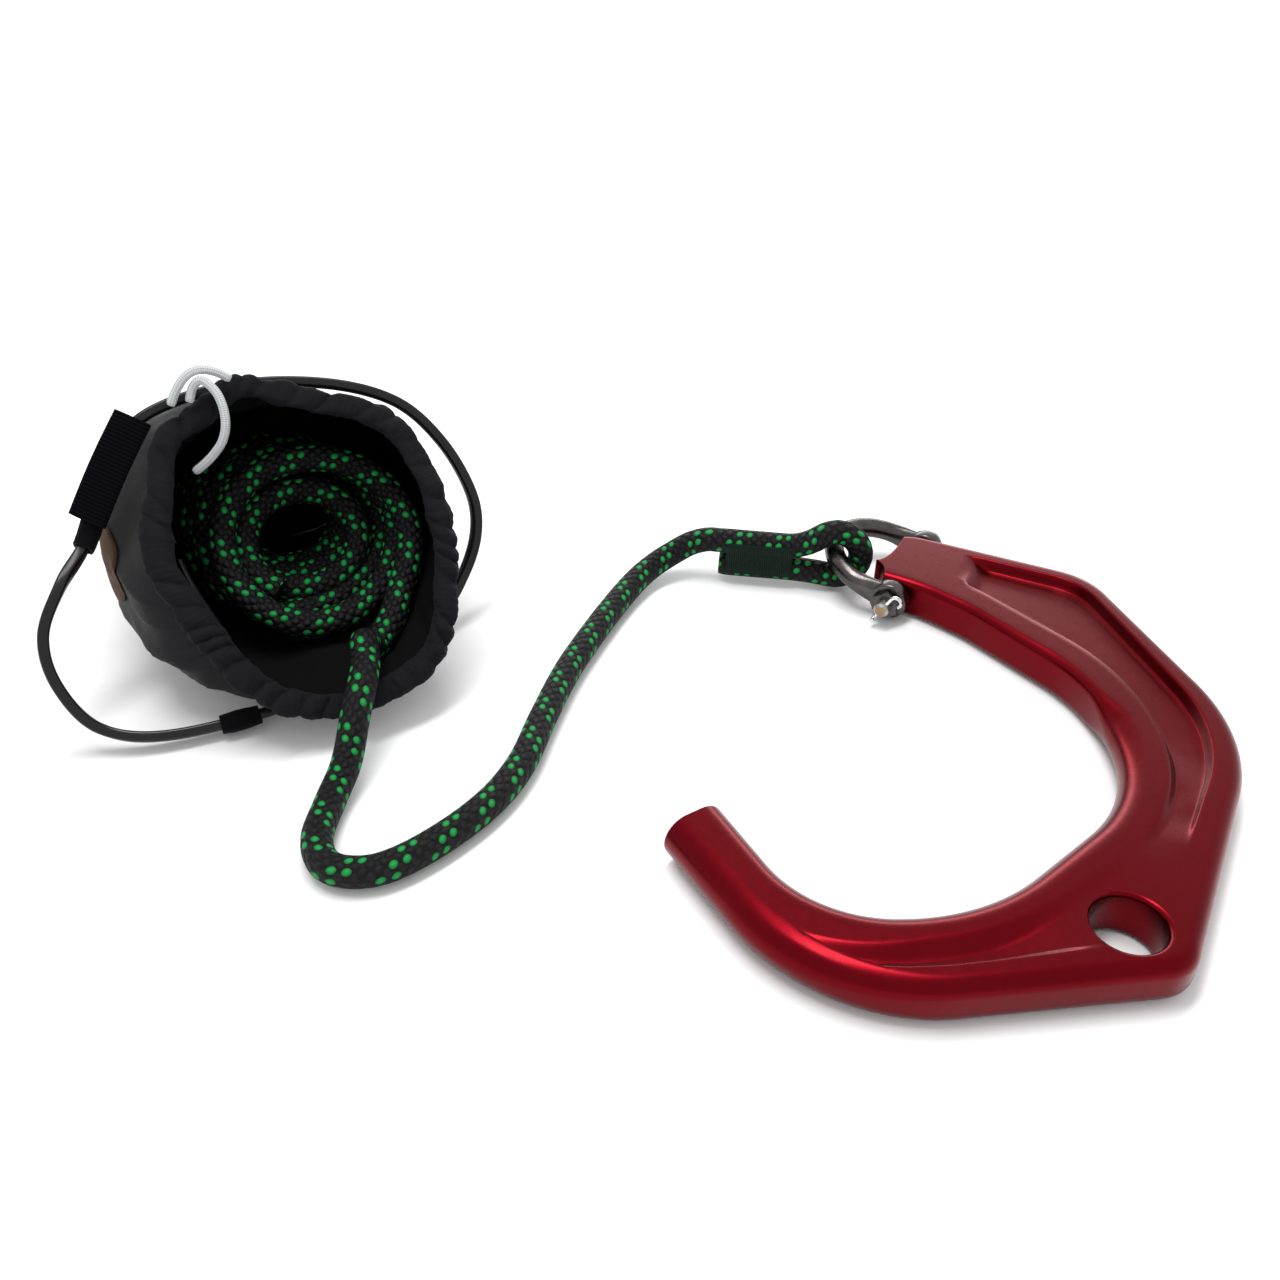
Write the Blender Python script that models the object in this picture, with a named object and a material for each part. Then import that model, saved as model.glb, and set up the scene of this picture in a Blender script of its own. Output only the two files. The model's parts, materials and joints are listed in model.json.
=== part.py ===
"""Throwing-hook kit: forged hook, bolt shackle, braided rope with a sewn eye, and its rope bag.

Metres, +Z up, everything lying on the plane z = 0.  Plan positions are given in a layout frame
whose origin is the middle of the hook's throat; `at` turns them into the part's own frame, whose
origin is under the middle of the kit's outline.
"""

from math import acos, cos, exp, pi, radians, sin, tan

import bmesh
import bpy
from mathutils import Matrix, Vector

# ---- driving dimensions (millimetres in the layout frame) ----------------------------------
MM = 0.001
KIT_CENTRE = (-85.6, 32.1)       # middle of the kit's outline, seen from above
GAP = 0.35                       # clearance between pieces that touch

HOOK_THICKNESS = 16.0
# Corners of the hook's two edges from the shackle end to the tip: x, y, corner radius.
HOOK_INNER = (
    (10.0, 100.8, 0.0),
    (31.5, 87.8, 60.0),
    (46.5, 72.8, 60.0),
    (79.0, 27.6, 60.0),
    (79.0, -25.6, 59.0),
    (18.2, -76.6, 66.0),
    (-29.1, -76.6, 38.0),
    (-53.0, -32.0, 0.0),
)
HOOK_OUTER = (
    (24.0, 126.5, 0.0),
    (36.3, 128.0, 15.0),
    (99.8, 96.0, 25.0),
    (125.0, -1.2, 75.0),
    (70.2, -97.0, 13.0),
    (-33.0, -109.0, 62.0),
    (-71.2, -43.4, 0.0),
)
# Share of each edge's length reached at the same cross-section: inner, outer.
EDGE_MATCH = (
    (0.0, 0.0), (0.10, 0.075), (0.22, 0.17), (0.33, 0.305), (0.42, 0.41), (0.50, 0.49),
    (0.575, 0.60), (0.66, 0.70), (0.78, 0.80), (0.87, 0.895), (1.0, 1.0),
)
HOOK_STATIONS = 66
ELBOW_HOLE = (56.3, -82.0)
ELBOW_HOLE_DIAMETER = 21.0

SHANK_ANGLE = -29.0              # the shank's direction, away from the shackle
PIN_CENTRE = (31.0, 109.6)
PIN_HEIGHT = HOOK_THICKNESS / 2
BOLT_DIAMETER = 6.0
BORE_DIAMETER = 6.8
JAW_WIDTH = 38.4
EAR_THICKNESS = 5.4
EAR_DIAMETER = 15.0
BOW_BAR = 8.0
BOW_LEG = 9.9                    # from the pin to where the bow's arc starts
BOW_LIFT = 15.0                  # the bow leans up over the rope's lower leg, degrees
HEAD_HEIGHT = 4.2
HEAD_RADIUS = 5.6
NUT_RADIUS = 5.8                 # to its corners
NUT_HEIGHT = 3.2
BOLT_TAIL = 4.2                  # bolt past the nut, with the split pin through it
SPLIT_PIN = 1.5

ROPE = 10.0
ROPE_REST = 5.3                  # height of its centre where it lies on the ground
EYE_ANGLE = -9.0                 # direction of the sewn legs, tail to nose
EYE_BAR_ANGLE = 33.0             # where the eye sits round the bow, from its crown
EYE_LEG = 50.0                   # bar to the cut tail
EYE_SLACK = 1.2                  # between the bow's bar and the rope round it
LEG_LIFT = 1.6                   # the sewn legs ride above the bottom of the loop
STITCH_FROM = 19.5
STITCH_TO = 44.0

# The rope's run on the ground, from the sewn legs to the bag's lip: x, y, z.
ROPE_RUN = (
    (-57.0, 121.9, 14.6),
    (-64.3, 120.6, 10.8),
    (-71.5, 116.5, 8.0),
    (-78.6, 108.2, 6.3),
    (-86.5, 93.5, ROPE_REST),
    (-96.0, 70.5, ROPE_REST),
    (-105.0, 45.5, ROPE_REST),
    (-112.0, 18.5, ROPE_REST),
    (-117.5, -5.0, ROPE_REST),
    (-126.5, -24.0, ROPE_REST),
    (-141.8, -42.0, ROPE_REST),
    (-157.0, -52.5, ROPE_REST),
    (-171.0, -51.5, ROPE_REST),
    (-177.5, -40.0, ROPE_REST),
    (-177.0, -23.0, ROPE_REST),
    (-174.0, -9.0, 9.5),
    (-172.0, 4.0, 20.0),
    (-171.0, 14.0, 24.8),
    (-171.5, 24.0, 26.6),
    (-173.5, 33.0, 28.0),
)

# The bag lies on its side with its mouth leaning back towards the viewer.
BAG_HEADING = 112.0              # from the mouth to the base, degrees from +X
MOUTH_CENTRE = (-193.0, 48.0)
MOUTH_HALF_WIDTH = 49.5
MOUTH_HALF_HEIGHT = 54.5
MOUTH_LEAN = 50.0                # the mouth's plane from the horizontal, degrees
BODY_HALF_WIDTH = 56.0
BODY_HALF_HEIGHT = 31.0
BAG_LENGTH = 110.0
BELLY = 10.0                     # how far the cloth sags out, low on the left behind the hem
BELLY_ANGLE = 214.0
BELLY_SPREAD = 38.0
BAG_WALL = 1.4
BAG_DEPTHS = (0.0, 0.06, 0.14, 0.22, 0.31, 0.42, 0.54, 0.66, 0.78, 0.9, 1.0)
MOUTH_BOTTOM = 12.0              # height of the mouth's lowest point
HEM_WIDTH = 8.0
HEM_THICKNESS = 5.0
# How far the mouth's outline stands outside an ellipse, by its angle: drawn up at the top left,
# slack below.
MOUTH_SWELL = (
    (0, -2.0), (45, 3.0), (70, 0.0), (85, 2.0), (100, 7.5), (114, 4.5), (128, 6.0), (150, -1.0),
    (172, -3.0), (192, -8.0), (210, -9.0), (228, -6.5), (250, -3.0), (280, -1.0), (312, 2.0),
    (340, -2.0), (360, -2.0),
)

# The coil's first and last turns: x, y, z, half width, half height (its turns lean back).
COIL_FRONT = (-195.4, 62.7, 46.0, 43.2, 41.5)
COIL_BACK = (-228.3, 122.7, 35.3, 40.0, 31.0)
COIL_HOLE = 13.0
COIL_LEAN = 45.0

# The springy hoop round the bag: towards the bag's right side, towards its base, height.
HOOP_ROUTE = (
    (-57.3, -17.0, 4.6),
    (-77.8, -11.0, 9.5),
    (-87.0, -4.0, 24.8),
    (-87.5, 4.0, 40.0),
    (-79.0, 14.0, 52.0),
    (-68.5, 27.0, 60.0),
    (-57.0, 36.0, 79.0),
    (-42.0, 43.0, 94.0),
    (-12.0, 48.0, 98.5),
    (20.0, 47.0, 95.0),
    (44.2, 43.0, 85.7),
    (58.5, 38.0, 69.6),
    (66.9, 33.0, 49.3),
    (66.7, 28.0, 34.3),
    (59.0, 22.0, 20.0),
    (44.0, 12.0, 8.5),
    (16.0, -4.0, 4.6),
    (-20.0, -16.0, 4.6),
)
HOOP_BAND = (5.2, 3.0)           # along its own axis, and across
LEFT_TAB = 0.226                 # where the hoop passes the fabric tabs, share of its length
FRONT_TAB = 0.945
TAB_SPAN = 0.03                   # share of the hoop that a tab covers
TAB_THICKNESS = 0.9
HOOP_STEPS = 72
STRAP_WIDTH = 13.0
STRAP_FROM = 0.243               # shares of the hoop that the strap covers
STRAP_TO = 0.33
DRAW_CORD = 3.0
# The draw cord's two visible stretches: angle round the mouth, out from its edge, in front of the hem.
DRAW_LOOP = (
    (116.0, 9.0, 2.0),
    (112.6, 11.6, 4.5),
    (109.5, 11.5, 6.6),
    (107.7, 6.2, 7.0),
    (108.2, 0.6, 6.0),
    (110.9, -4.4, 4.0),
    (115.5, -7.4, 1.0),
    (121.0, -8.0, -2.7),
    (126.5, -7.4, -6.3),
    (131.5, -5.8, -9.8),
)
DRAW_BIGHT = (
    (121.0, 12.0, 1.5),
    (117.0, 14.0, 4.0),
    (112.5, 15.4, 6.0),
    (108.5, 15.0, 6.4),
    (104.5, 12.5, 5.2),
    (101.0, 9.0, 3.4),
)
PATCH_SPAN = (19, 20, 21, 22)
PATCH_DEPTHS = BAG_DEPTHS[3:6]


# ---- small tools ---------------------------------------------------------------------------
def at(x, y, z=0.0):
    """Layout millimetres to the part's own metres."""
    return Vector(((x - KIT_CENTRE[0]) * MM, (y - KIT_CENTRE[1]) * MM, z * MM))


def heading(degrees):
    return Vector((cos(radians(degrees)), sin(radians(degrees)), 0.0))


def material(name, colour, roughness, metallic=0.0):
    mat = bpy.data.materials.new(name)
    mat.use_nodes = True
    shader = mat.node_tree.nodes["Principled BSDF"]
    shader.inputs["Base Color"].default_value = (*colour, 1.0)
    shader.inputs["Roughness"].default_value = roughness
    shader.inputs["Metallic"].default_value = metallic
    return mat


def new_object(name, mesh, mat=None, smooth=True):
    obj = bpy.data.objects.new(name, mesh)
    bpy.context.scene.collection.objects.link(obj)
    if mat is not None:
        mesh.materials.append(mat)
    if smooth:
        mesh.shade_smooth()
        mesh.set_sharp_from_angle(angle=radians(40))
    return obj


def mesh_from(bm, name):
    bmesh.ops.recalc_face_normals(bm, faces=bm.faces)
    mesh = bpy.data.meshes.new(name)
    bm.to_mesh(mesh)
    bm.free()
    return mesh


def skin(name, rings, closed=False, caps=True):
    """Mesh through equal rings of points; `closed` joins the last ring to the first."""
    bm = bmesh.new()
    rows = [[bm.verts.new(p) for p in ring] for ring in rings]
    count = len(rows[0])
    last = len(rows) if closed else len(rows) - 1
    for i in range(last):
        a, b = rows[i], rows[(i + 1) % len(rows)]
        for j in range(count):
            k = (j + 1) % count
            bm.faces.new((a[j], a[k], b[k], b[j]))
    if caps and not closed:
        bm.faces.new(rows[0])
        bm.faces.new(reversed(rows[-1]))
    return mesh_from(bm, name)


def cutter(name, mesh):
    obj = new_object(name, mesh, smooth=False)
    obj.hide_render = True
    obj.display_type = "WIRE"
    return obj


def boolean(obj, other, operation="DIFFERENCE"):
    mod = obj.modifiers.new(other.name, "BOOLEAN")
    mod.operation = operation
    mod.solver = "EXACT"
    mod.object = other


def cylinder_mesh(name, centre, axis, radius, length, sides=32):
    bm = bmesh.new()
    bmesh.ops.create_cone(
        bm, cap_ends=True, segments=sides, radius1=radius * MM, radius2=radius * MM, depth=length * MM,
    )
    turn = Vector((0, 0, 1)).rotation_difference(axis).to_matrix().to_4x4()
    bmesh.ops.transform(bm, matrix=Matrix.Translation(centre) @ turn, verts=bm.verts)
    return mesh_from(bm, name)


def rounded_path(corners, step=4.0):
    """Plan points along straight edges whose corners are rounded by arcs."""
    points = [Vector(corners[0][:2])]
    for i in range(1, len(corners) - 1):
        before, corner, after = (Vector(corners[k][:2]) for k in (i - 1, i, i + 1))
        radius = corners[i][2]
        u, v = (before - corner).normalized(), (after - corner).normalized()
        half = acos(max(-1.0, min(1.0, u.dot(v)))) / 2
        centre = corner + (u + v).normalized() * radius / sin(half)
        start, end = corner + u * radius / tan(half), corner + v * radius / tan(half)
        sweep = pi - 2 * half
        pieces = max(2, round(radius * sweep / step))
        a, b = start - centre, end - centre
        for k in range(pieces + 1):
            t = k / pieces
            ray = a * (sin((1 - t) * sweep) / sin(sweep)) + b * (sin(t * sweep) / sin(sweep))
            points.append(centre + ray)
    points.append(Vector(corners[-1][:2]))
    return points


def walk(points, share):
    """The point at a share of a polyline's length."""
    lengths = [(points[i + 1] - points[i]).length for i in range(len(points) - 1)]
    left = share * sum(lengths)
    for i, length in enumerate(lengths):
        if left <= length or i == len(lengths) - 1:
            return points[i].lerp(points[i + 1], min(1.0, left / length))
        left -= length
    return points[-1]


def table(keys, x):
    """Linear interpolation in pairs (x, value)."""
    for (x0, v0), (x1, v1) in zip(keys, keys[1:]):
        if x <= x1:
            return v0 + (v1 - v0) * (x - x0) / (x1 - x0)
    return keys[-1][1]


def ease(a, b, x):
    t = max(0.0, min(1.0, (x - a) / (b - a)))
    return t * t * (3 - 2 * t)


def smooth_curve(points, spacing):
    """Points read from a Catmull-Rom curve through the given ones."""
    ends = [points[0] * 2 - points[1], *points, points[-1] * 2 - points[-2]]
    fine = []
    for p0, p1, p2, p3 in zip(ends, ends[1:], ends[2:], ends[3:]):
        for k in range(12):
            t = k / 12
            fine.append(0.5 * (2 * p1 + (p2 - p0) * t + (2 * p0 - 5 * p1 + 4 * p2 - p3) * t * t
                               + (3 * p1 - p0 - 3 * p2 + p3) * t ** 3))
    fine.append(points[-1])
    total = sum((b - a).length for a, b in zip(fine, fine[1:]))
    count = max(2, round(total / spacing))
    return [walk(fine, k / count) for k in range(count + 1)]


def cord_object(name, points, diameter, mat, bevel=3, closed=False):
    """A round cord as a curve with filled ends; points are in metres."""
    curve = bpy.data.curves.new(name, "CURVE")
    curve.dimensions = "3D"
    curve.bevel_depth = diameter * MM / 2
    curve.bevel_resolution = bevel
    curve.use_fill_caps = True
    curve.render_resolution_u = 0
    spline = curve.splines.new("POLY")
    spline.points.add(len(points) - 1)
    for node, p in zip(spline.points, points):
        node.co = (*p, 1.0)
    spline.use_cyclic_u = closed
    spline.use_smooth = True
    curve.materials.append(mat)
    obj = bpy.data.objects.new(name, curve)
    bpy.context.scene.collection.objects.link(obj)
    return obj


def swept(name, centres, sections, closed=False):
    """Skin through sections (lists of 2-D points) placed at centres with (x, y) axes."""
    rings = [[c + ax * p[0] + ay * p[1] for p in section]
             for (c, ax, ay), section in zip(centres, sections)]
    return skin(name, rings, closed=closed)


# ---- the hook ------------------------------------------------------------------------------
SHANK = heading(SHANK_ANGLE)
PIN_AXIS = heading(SHANK_ANGLE + 90.0)

# Along the hook, 0 at the shackle and 1 at the tip: widths of bead and rim, depth of the pocket
# between them, and how round the inner edge is (the shank's is flat-sided).
BEAD_WIDTH = ((0.0, 15.0), (0.25, 15.0), (0.45, 15.5), (0.6, 14.5), (0.75, 14.0), (0.86, 19.0), (1.0, 20.0))
RIM_WIDTH = ((0.0, 8.0), (0.3, 9.0), (0.47, 11.0), (0.75, 9.0), (0.86, 4.0), (1.0, 2.0))
POCKET_DEPTH = ((0.0, 0.0), (0.115, 0.0), (0.15, 4.2), (0.42, 4.2), (0.52, 1.0), (0.58, 0.0), (0.635, 0.6),
                (0.72, 3.0), (0.82, 2.4), (0.865, 0.0), (1.0, 0.0))
INNER_RADIUS = ((0.0, 4.0), (0.33, 4.5), (0.40, 8.0), (1.0, 8.0))
OUTER_RADIUS = ((0.0, 4.0), (0.45, 5.0), (0.75, 5.0), (0.87, 8.0), (1.0, 8.0))
SECTION_SHARES = (0.0, 0.08, 0.29, 0.62, 1.0)     # of a rounded edge's quarter circle


def hook_heights(u, width):
    """Half of the hook's cross-section at u: (distance from the inner edge, half thickness)."""
    half = HOOK_THICKNESS / 2
    r_in, r_out = table(INNER_RADIUS, u), table(OUTER_RADIUS, u)
    r_in, r_out = min(r_in, width / 2 - 1.5), min(r_out, width / 2 - 1.5)
    bead, rim, depth = table(BEAD_WIDTH, u), table(RIM_WIDTH, u), table(POCKET_DEPTH, u)
    points = []
    for share in SECTION_SHARES:
        a = share * pi / 2
        points.append((r_in * (1 - cos(a)), half - r_in + r_in * sin(a)))
    marks = [bead - 1.5, bead + 1.5, (bead + width - rim) / 2, width - rim - 1.5, width - rim + 1.0]
    last = r_in
    for k, mark in enumerate(marks):
        last = max(last + 0.2, min(mark, width - r_out - 0.2 * (len(marks) - k)))
        points.append((last, half - (depth if k in (1, 2, 3) else 0.0)))
    for share in reversed(SECTION_SHARES):
        a = share * pi / 2
        points.append((width - r_out * (1 - cos(a)), half - r_out + r_out * sin(a)))
    return points


def hook_mesh():
    inner, outer = rounded_path(HOOK_INNER), rounded_path(HOOK_OUTER)
    rings = []
    for i in range(HOOK_STATIONS + 1):
        u = i / HOOK_STATIONS
        a, b = walk(inner, u), walk(outer, table(EDGE_MATCH, u))
        across = (b - a).normalized()
        profile = hook_heights(u, (b - a).length)
        upper = [(a + across * p, PIN_HEIGHT + h) for p, h in profile]
        lower = [(a + across * p, PIN_HEIGHT - h) for p, h in reversed(profile)]
        rings.append([at(p.x, p.y, z) for p, z in upper + lower])
    return skin("hook_body", rings)


def shank_end_cutter():
    """Everything beyond the shank's end: two hollow curves that meet at a pointed tongue."""
    def bezier(a, b, c, count=6):
        shares = [k / count for k in range(count + 1)]
        return [a * (1 - t) ** 2 + b * 2 * t * (1 - t) + c * t * t for t in shares]

    south = bezier(Vector((-4.6, -18.0)), Vector((-5.6, -11.0)), Vector((-10.8, -9.3)))
    north = bezier(Vector((-10.8, -9.3)), Vector((-6.4, -6.0)), Vector((-6.9, 8.0)))
    outline = [Vector((-30, -30)), Vector((-4.6, -30)), *south]
    outline += [*north[1:], Vector((-6.9, 30)), Vector((-30, 30))]
    centre = Vector((*PIN_CENTRE, 0.0))
    rings = []
    for z in (-4.0, HOOK_THICKNESS + 4.0):
        ring = [centre + SHANK * p.x + PIN_AXIS * p.y for p in outline]
        rings.append([at(p.x, p.y, z) for p in ring])
    return cutter("cut_shank_end", skin("cut_shank_end", rings))


def build_hook(red):
    hook = new_object("hook_body", hook_mesh(), red)
    boolean(hook, shank_end_cutter())
    pin = at(*PIN_CENTRE, PIN_HEIGHT)
    boolean(hook, cutter("cut_pin", cylinder_mesh("cut_pin", pin, PIN_AXIS, BORE_DIAMETER / 2, 80.0, 24)))
    hole = at(*ELBOW_HOLE, PIN_HEIGHT)
    up = Vector((0, 0, 1))
    elbow = cylinder_mesh("cut_elbow", hole, up, ELBOW_HOLE_DIAMETER / 2, 40.0, 40)
    boolean(hook, cutter("cut_elbow", elbow))


# ---- the shackle ---------------------------------------------------------------------------
BOW_OUT = (-SHANK * cos(radians(BOW_LIFT)) + Vector((0, 0, sin(radians(BOW_LIFT))))).normalized()
BOW_RADIUS = (JAW_WIDTH + EAR_THICKNESS) / 2
PIN = at(*PIN_CENTRE, PIN_HEIGHT)
BOW_CENTRE = PIN + BOW_OUT * BOW_LEG * MM


def bow_point(angle):
    """On the bow's centre line: 0 at the crown, positive towards the nut's side."""
    a = radians(angle)
    return BOW_CENTRE + (BOW_OUT * cos(a) - PIN_AXIS * sin(a)) * BOW_RADIUS * MM


def build_bow(steel):
    normal = BOW_OUT.cross(PIN_AXIS)
    frames = []
    for side in (-1, 1):
        ends = []
        for along in (1.5, BOW_LEG - 0.5):
            centre = PIN + BOW_OUT * along * MM - PIN_AXIS * side * BOW_RADIUS * MM
            ends.append((centre, PIN_AXIS * -side, normal))
        arc = []
        for k in range(1, 13):
            angle = side * (90 - 90 * k / 12)
            out = (bow_point(angle) - BOW_CENTRE).normalized()
            arc.append((bow_point(angle), out, normal))
        frames.append(ends + arc)
    path = frames[0] + list(reversed(frames[1]))[1:]
    sections = []
    for k in range(len(path)):
        lean = min(1.0, max(0, min(k, len(path) - 1 - k) - 1) / 3)
        wide = (EAR_THICKNESS + (BOW_BAR - EAR_THICKNESS) * lean) / 2 * MM
        tall = (BOW_BAR + 3.0 * (1 - lean)) / 2 * MM
        sections.append([(wide * cos(2 * pi * j / 14), tall * sin(2 * pi * j / 14)) for j in range(14)])
    bow = new_object("shackle_bow", swept("shackle_bow", path, sections), steel)
    for side in (-1, 1):
        centre = PIN - PIN_AXIS * side * BOW_RADIUS * MM
        name = f"ear_{side + 1}"
        ear = cylinder_mesh(name, centre, PIN_AXIS, EAR_DIAMETER / 2, EAR_THICKNESS, 28)
        boolean(bow, cutter(name, ear), "UNION")
    boolean(bow, cutter("cut_ears", cylinder_mesh("cut_ears", PIN, PIN_AXIS, BORE_DIAMETER / 2, 90.0, 24)))


def lathe(name, origin, axis, profile, sides=24):
    """Turned solid; profile is (distance along the axis, radius) in millimetres."""
    turn = Vector((0, 0, 1)).rotation_difference(axis).to_matrix()
    rings = []
    for along, radius in profile:
        turns = [2 * pi * j / sides for j in range(sides)]
        ring = [Vector((radius * cos(a), radius * sin(a), along)) for a in turns]
        rings.append([origin + turn @ (p * MM) for p in ring])
    return skin(name, rings)


def build_bolt(steel, dark, chrome):
    head_from = JAW_WIDTH / 2 + EAR_THICKNESS + GAP
    nut_from = head_from
    tail = nut_from + NUT_HEIGHT + BOLT_TAIL
    radius = BOLT_DIAMETER / 2
    profile = [(-tail, radius - 0.9), (-tail + 0.9, radius), (head_from, radius), (head_from, HEAD_RADIUS),
               (head_from + HEAD_HEIGHT - 1.0, HEAD_RADIUS), (head_from + HEAD_HEIGHT, HEAD_RADIUS - 1.2)]
    bolt = new_object("shackle_bolt", lathe("shackle_bolt", PIN, PIN_AXIS, profile), steel)
    up = Vector((0, 0, 1))
    pin_at = PIN - PIN_AXIS * (nut_from + NUT_HEIGHT + BOLT_TAIL / 2) * MM
    across = (SHANK * 0.5 + up * 0.866).normalized()
    cross_hole = cylinder_mesh("cut_split", pin_at, across, SPLIT_PIN / 2 + 0.45, 20.0, 12)
    boolean(bolt, cutter("cut_split", cross_hole))

    nut_profile = [(-nut_from - NUT_HEIGHT, NUT_RADIUS), (-nut_from, NUT_RADIUS)]
    nut = new_object("shackle_nut", lathe("shackle_nut", PIN, PIN_AXIS, nut_profile, 6), dark, smooth=False)
    boolean(nut, cutter("cut_nut", cylinder_mesh("cut_nut", PIN, PIN_AXIS, radius + GAP, 90.0, 24)))

    side = across.cross(PIN_AXIS)
    eye = [pin_at + (across * (6.4 + 2.1 * sin(a)) + side * (2.1 * cos(a) - 2.1)) * MM
           for a in (radians(d) for d in range(210, -1, -30))]
    leg = [pin_at + across * along * MM for along in (3.8, 0.0, -3.7)]
    bend = [leg[-1] + (across * (-2.0 * sin(a)) - PIN_AXIS * (2.0 - 2.0 * cos(a))) * MM
            for a in (radians(d) for d in (25, 50, 75))]
    route = eye + leg + bend
    cord_object("split_pin", route, SPLIT_PIN, chrome, bevel=2)


# ---- the rope ------------------------------------------------------------------------------
EYE = heading(EYE_ANGLE)
EYE_BAR = bow_point(EYE_BAR_ANGLE)
EYE_TURN = (BOW_BAR + ROPE) / 2 + EYE_SLACK  # the rope's centre line round the bar
LOWER_LEG = LEG_LIFT - EYE_TURN              # heights of the sewn legs, from the bar
UPPER_LEG = LOWER_LEG + ROPE + 2 * GAP


def eye_route():
    """Centre line of the eye: cut tail, under the bar, round its nose and back over the top."""
    up = Vector((0, 0, 1))
    def spot(along, height):
        return EYE_BAR + (EYE * along + up * height) * MM
    tail = [spot(along, LOWER_LEG) for along in (3.0 - EYE_LEG, -33.0, -17.0)] + [spot(-7.0, LOWER_LEG - 0.7)]
    nose = [spot(EYE_TURN * sin(a), -EYE_TURN * cos(a)) for a in (radians(d) for d in range(0, 181, 20))]
    back = [spot(-4.5, EYE_TURN - 1.5), spot(-9.0, 5.4), spot(-13.5, UPPER_LEG + 1.1)]
    back += [spot(along, UPPER_LEG) for along in (-19.0, -32.0, -42.0, -50.0)]
    return tail + nose + back


def build_rope(rope, thread):
    up = Vector((0, 0, 1))
    cord_object("rope_eye", smooth_curve(eye_route(), 0.006), ROPE, rope, bevel=3)
    start = eye_route()[-1] - EYE * 2.0 * MM
    route = [start, *(at(*p) for p in ROPE_RUN)]
    cord_object("rope_run", smooth_curve(route, 0.011), ROPE, rope, bevel=3)

    side = EYE.cross(up)
    middle = LOWER_LEG + ROPE / 2 + GAP
    def stadium(radius, spread):
        ring = []
        for k in range(24):
            a = 2 * pi * k / 24
            lift = spread if sin(a) >= 0 else -spread
            ring.append((radius * cos(a), radius * sin(a) + lift))
        return ring
    inner, outer = stadium(ROPE / 2 + GAP, ROPE / 2 + GAP), stadium(ROPE / 2 + GAP + 0.6, ROPE / 2 + GAP)
    bm = bmesh.new()
    loops = []
    for along in (-STITCH_TO, -STITCH_FROM):
        base = EYE_BAR + (EYE * along + up * middle) * MM
        for ring in (inner, outer):
            loops.append([bm.verts.new(base + (side * p[0] + up * p[1]) * MM) for p in ring])
    a_in, a_out, b_in, b_out = loops
    count = len(a_in)
    for j in range(count):
        k = (j + 1) % count
        for one, two in ((a_in, a_out), (a_out, b_out), (b_out, b_in), (b_in, a_in)):
            bm.faces.new((one[j], one[k], two[k], two[j]))
    new_object("eye_stitching", mesh_from(bm, "eye_stitching"), thread)


# ---- the bag -------------------------------------------------------------------------------
BAG_BACK = heading(BAG_HEADING)
BAG_SIDE = heading(BAG_HEADING - 90.0)
UP = Vector((0, 0, 1))
MOUTH_UP = (BAG_BACK * cos(radians(MOUTH_LEAN)) + UP * sin(radians(MOUTH_LEAN)))
MOUTH_OUT = BAG_SIDE.cross(MOUTH_UP).normalized()


def mouth_swell(angle):
    for (a0, v0), (a1, v1) in zip(MOUTH_SWELL, MOUTH_SWELL[1:]):
        if angle <= a1:
            return v0 + (v1 - v0) * ease(a0, a1, angle)
    return MOUTH_SWELL[-1][1]


def bag_ring(depth, inset=0.0, count=40):
    """A ring of the sack: 0 at the mouth, 1 at the base; inset moves it inwards."""
    lean = radians(MOUTH_LEAN + (82.0 - MOUTH_LEAN) * ease(0.0, 1.0, depth))
    slant = BAG_BACK * cos(lean) + UP * sin(lean)
    half_width = MOUTH_HALF_WIDTH + (BODY_HALF_WIDTH - MOUTH_HALF_WIDTH) * ease(0.0, 0.4, depth)
    half_width -= 3.0 * ease(0.7, 1.0, depth)
    half_height = MOUTH_HALF_HEIGHT + (BODY_HALF_HEIGHT - MOUTH_HALF_HEIGHT) * depth ** 0.85
    bottom = MOUTH_BOTTOM + (0.5 - MOUTH_BOTTOM) * ease(0.42, 0.75, depth)
    base = Vector((*MOUTH_CENTRE, 0.0)) - BAG_SIDE * 8.0 * ease(0.12, 0.5, depth)
    centre = base + BAG_BACK * BAG_LENGTH * depth + UP * (bottom + half_height * sin(lean))
    belly = BELLY * ease(0.0, 0.14, depth) * (1 - ease(0.3, 0.6, depth))
    rim = 1 - ease(0.0, 0.2, depth)
    ring = []
    for k in range(count):
        a = 2 * pi * k / count
        swell = rim * mouth_swell(360 * k / count)
        sag = belly * exp(-((a - radians(BELLY_ANGLE)) / radians(BELLY_SPREAD)) ** 2) - inset + swell
        p = centre + BAG_SIDE * (half_width + sag) * cos(a) + slant * (half_height + sag) * sin(a)
        ring.append(at(p.x, p.y, p.z))
    return ring


def mouth_point(angle, out=0.0, proud=0.0):
    """Near the mouth's rim: `out` millimetres outside it and `proud` in front of its plane."""
    a = radians(angle)
    rise = MOUTH_BOTTOM + MOUTH_HALF_HEIGHT * sin(radians(MOUTH_LEAN))
    rim = BAG_SIDE * (MOUTH_HALF_WIDTH + out) * cos(a) + MOUTH_UP * (MOUTH_HALF_HEIGHT + out) * sin(a)
    return Vector((*MOUTH_CENTRE, rise)) + rim + MOUTH_OUT * proud


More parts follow.
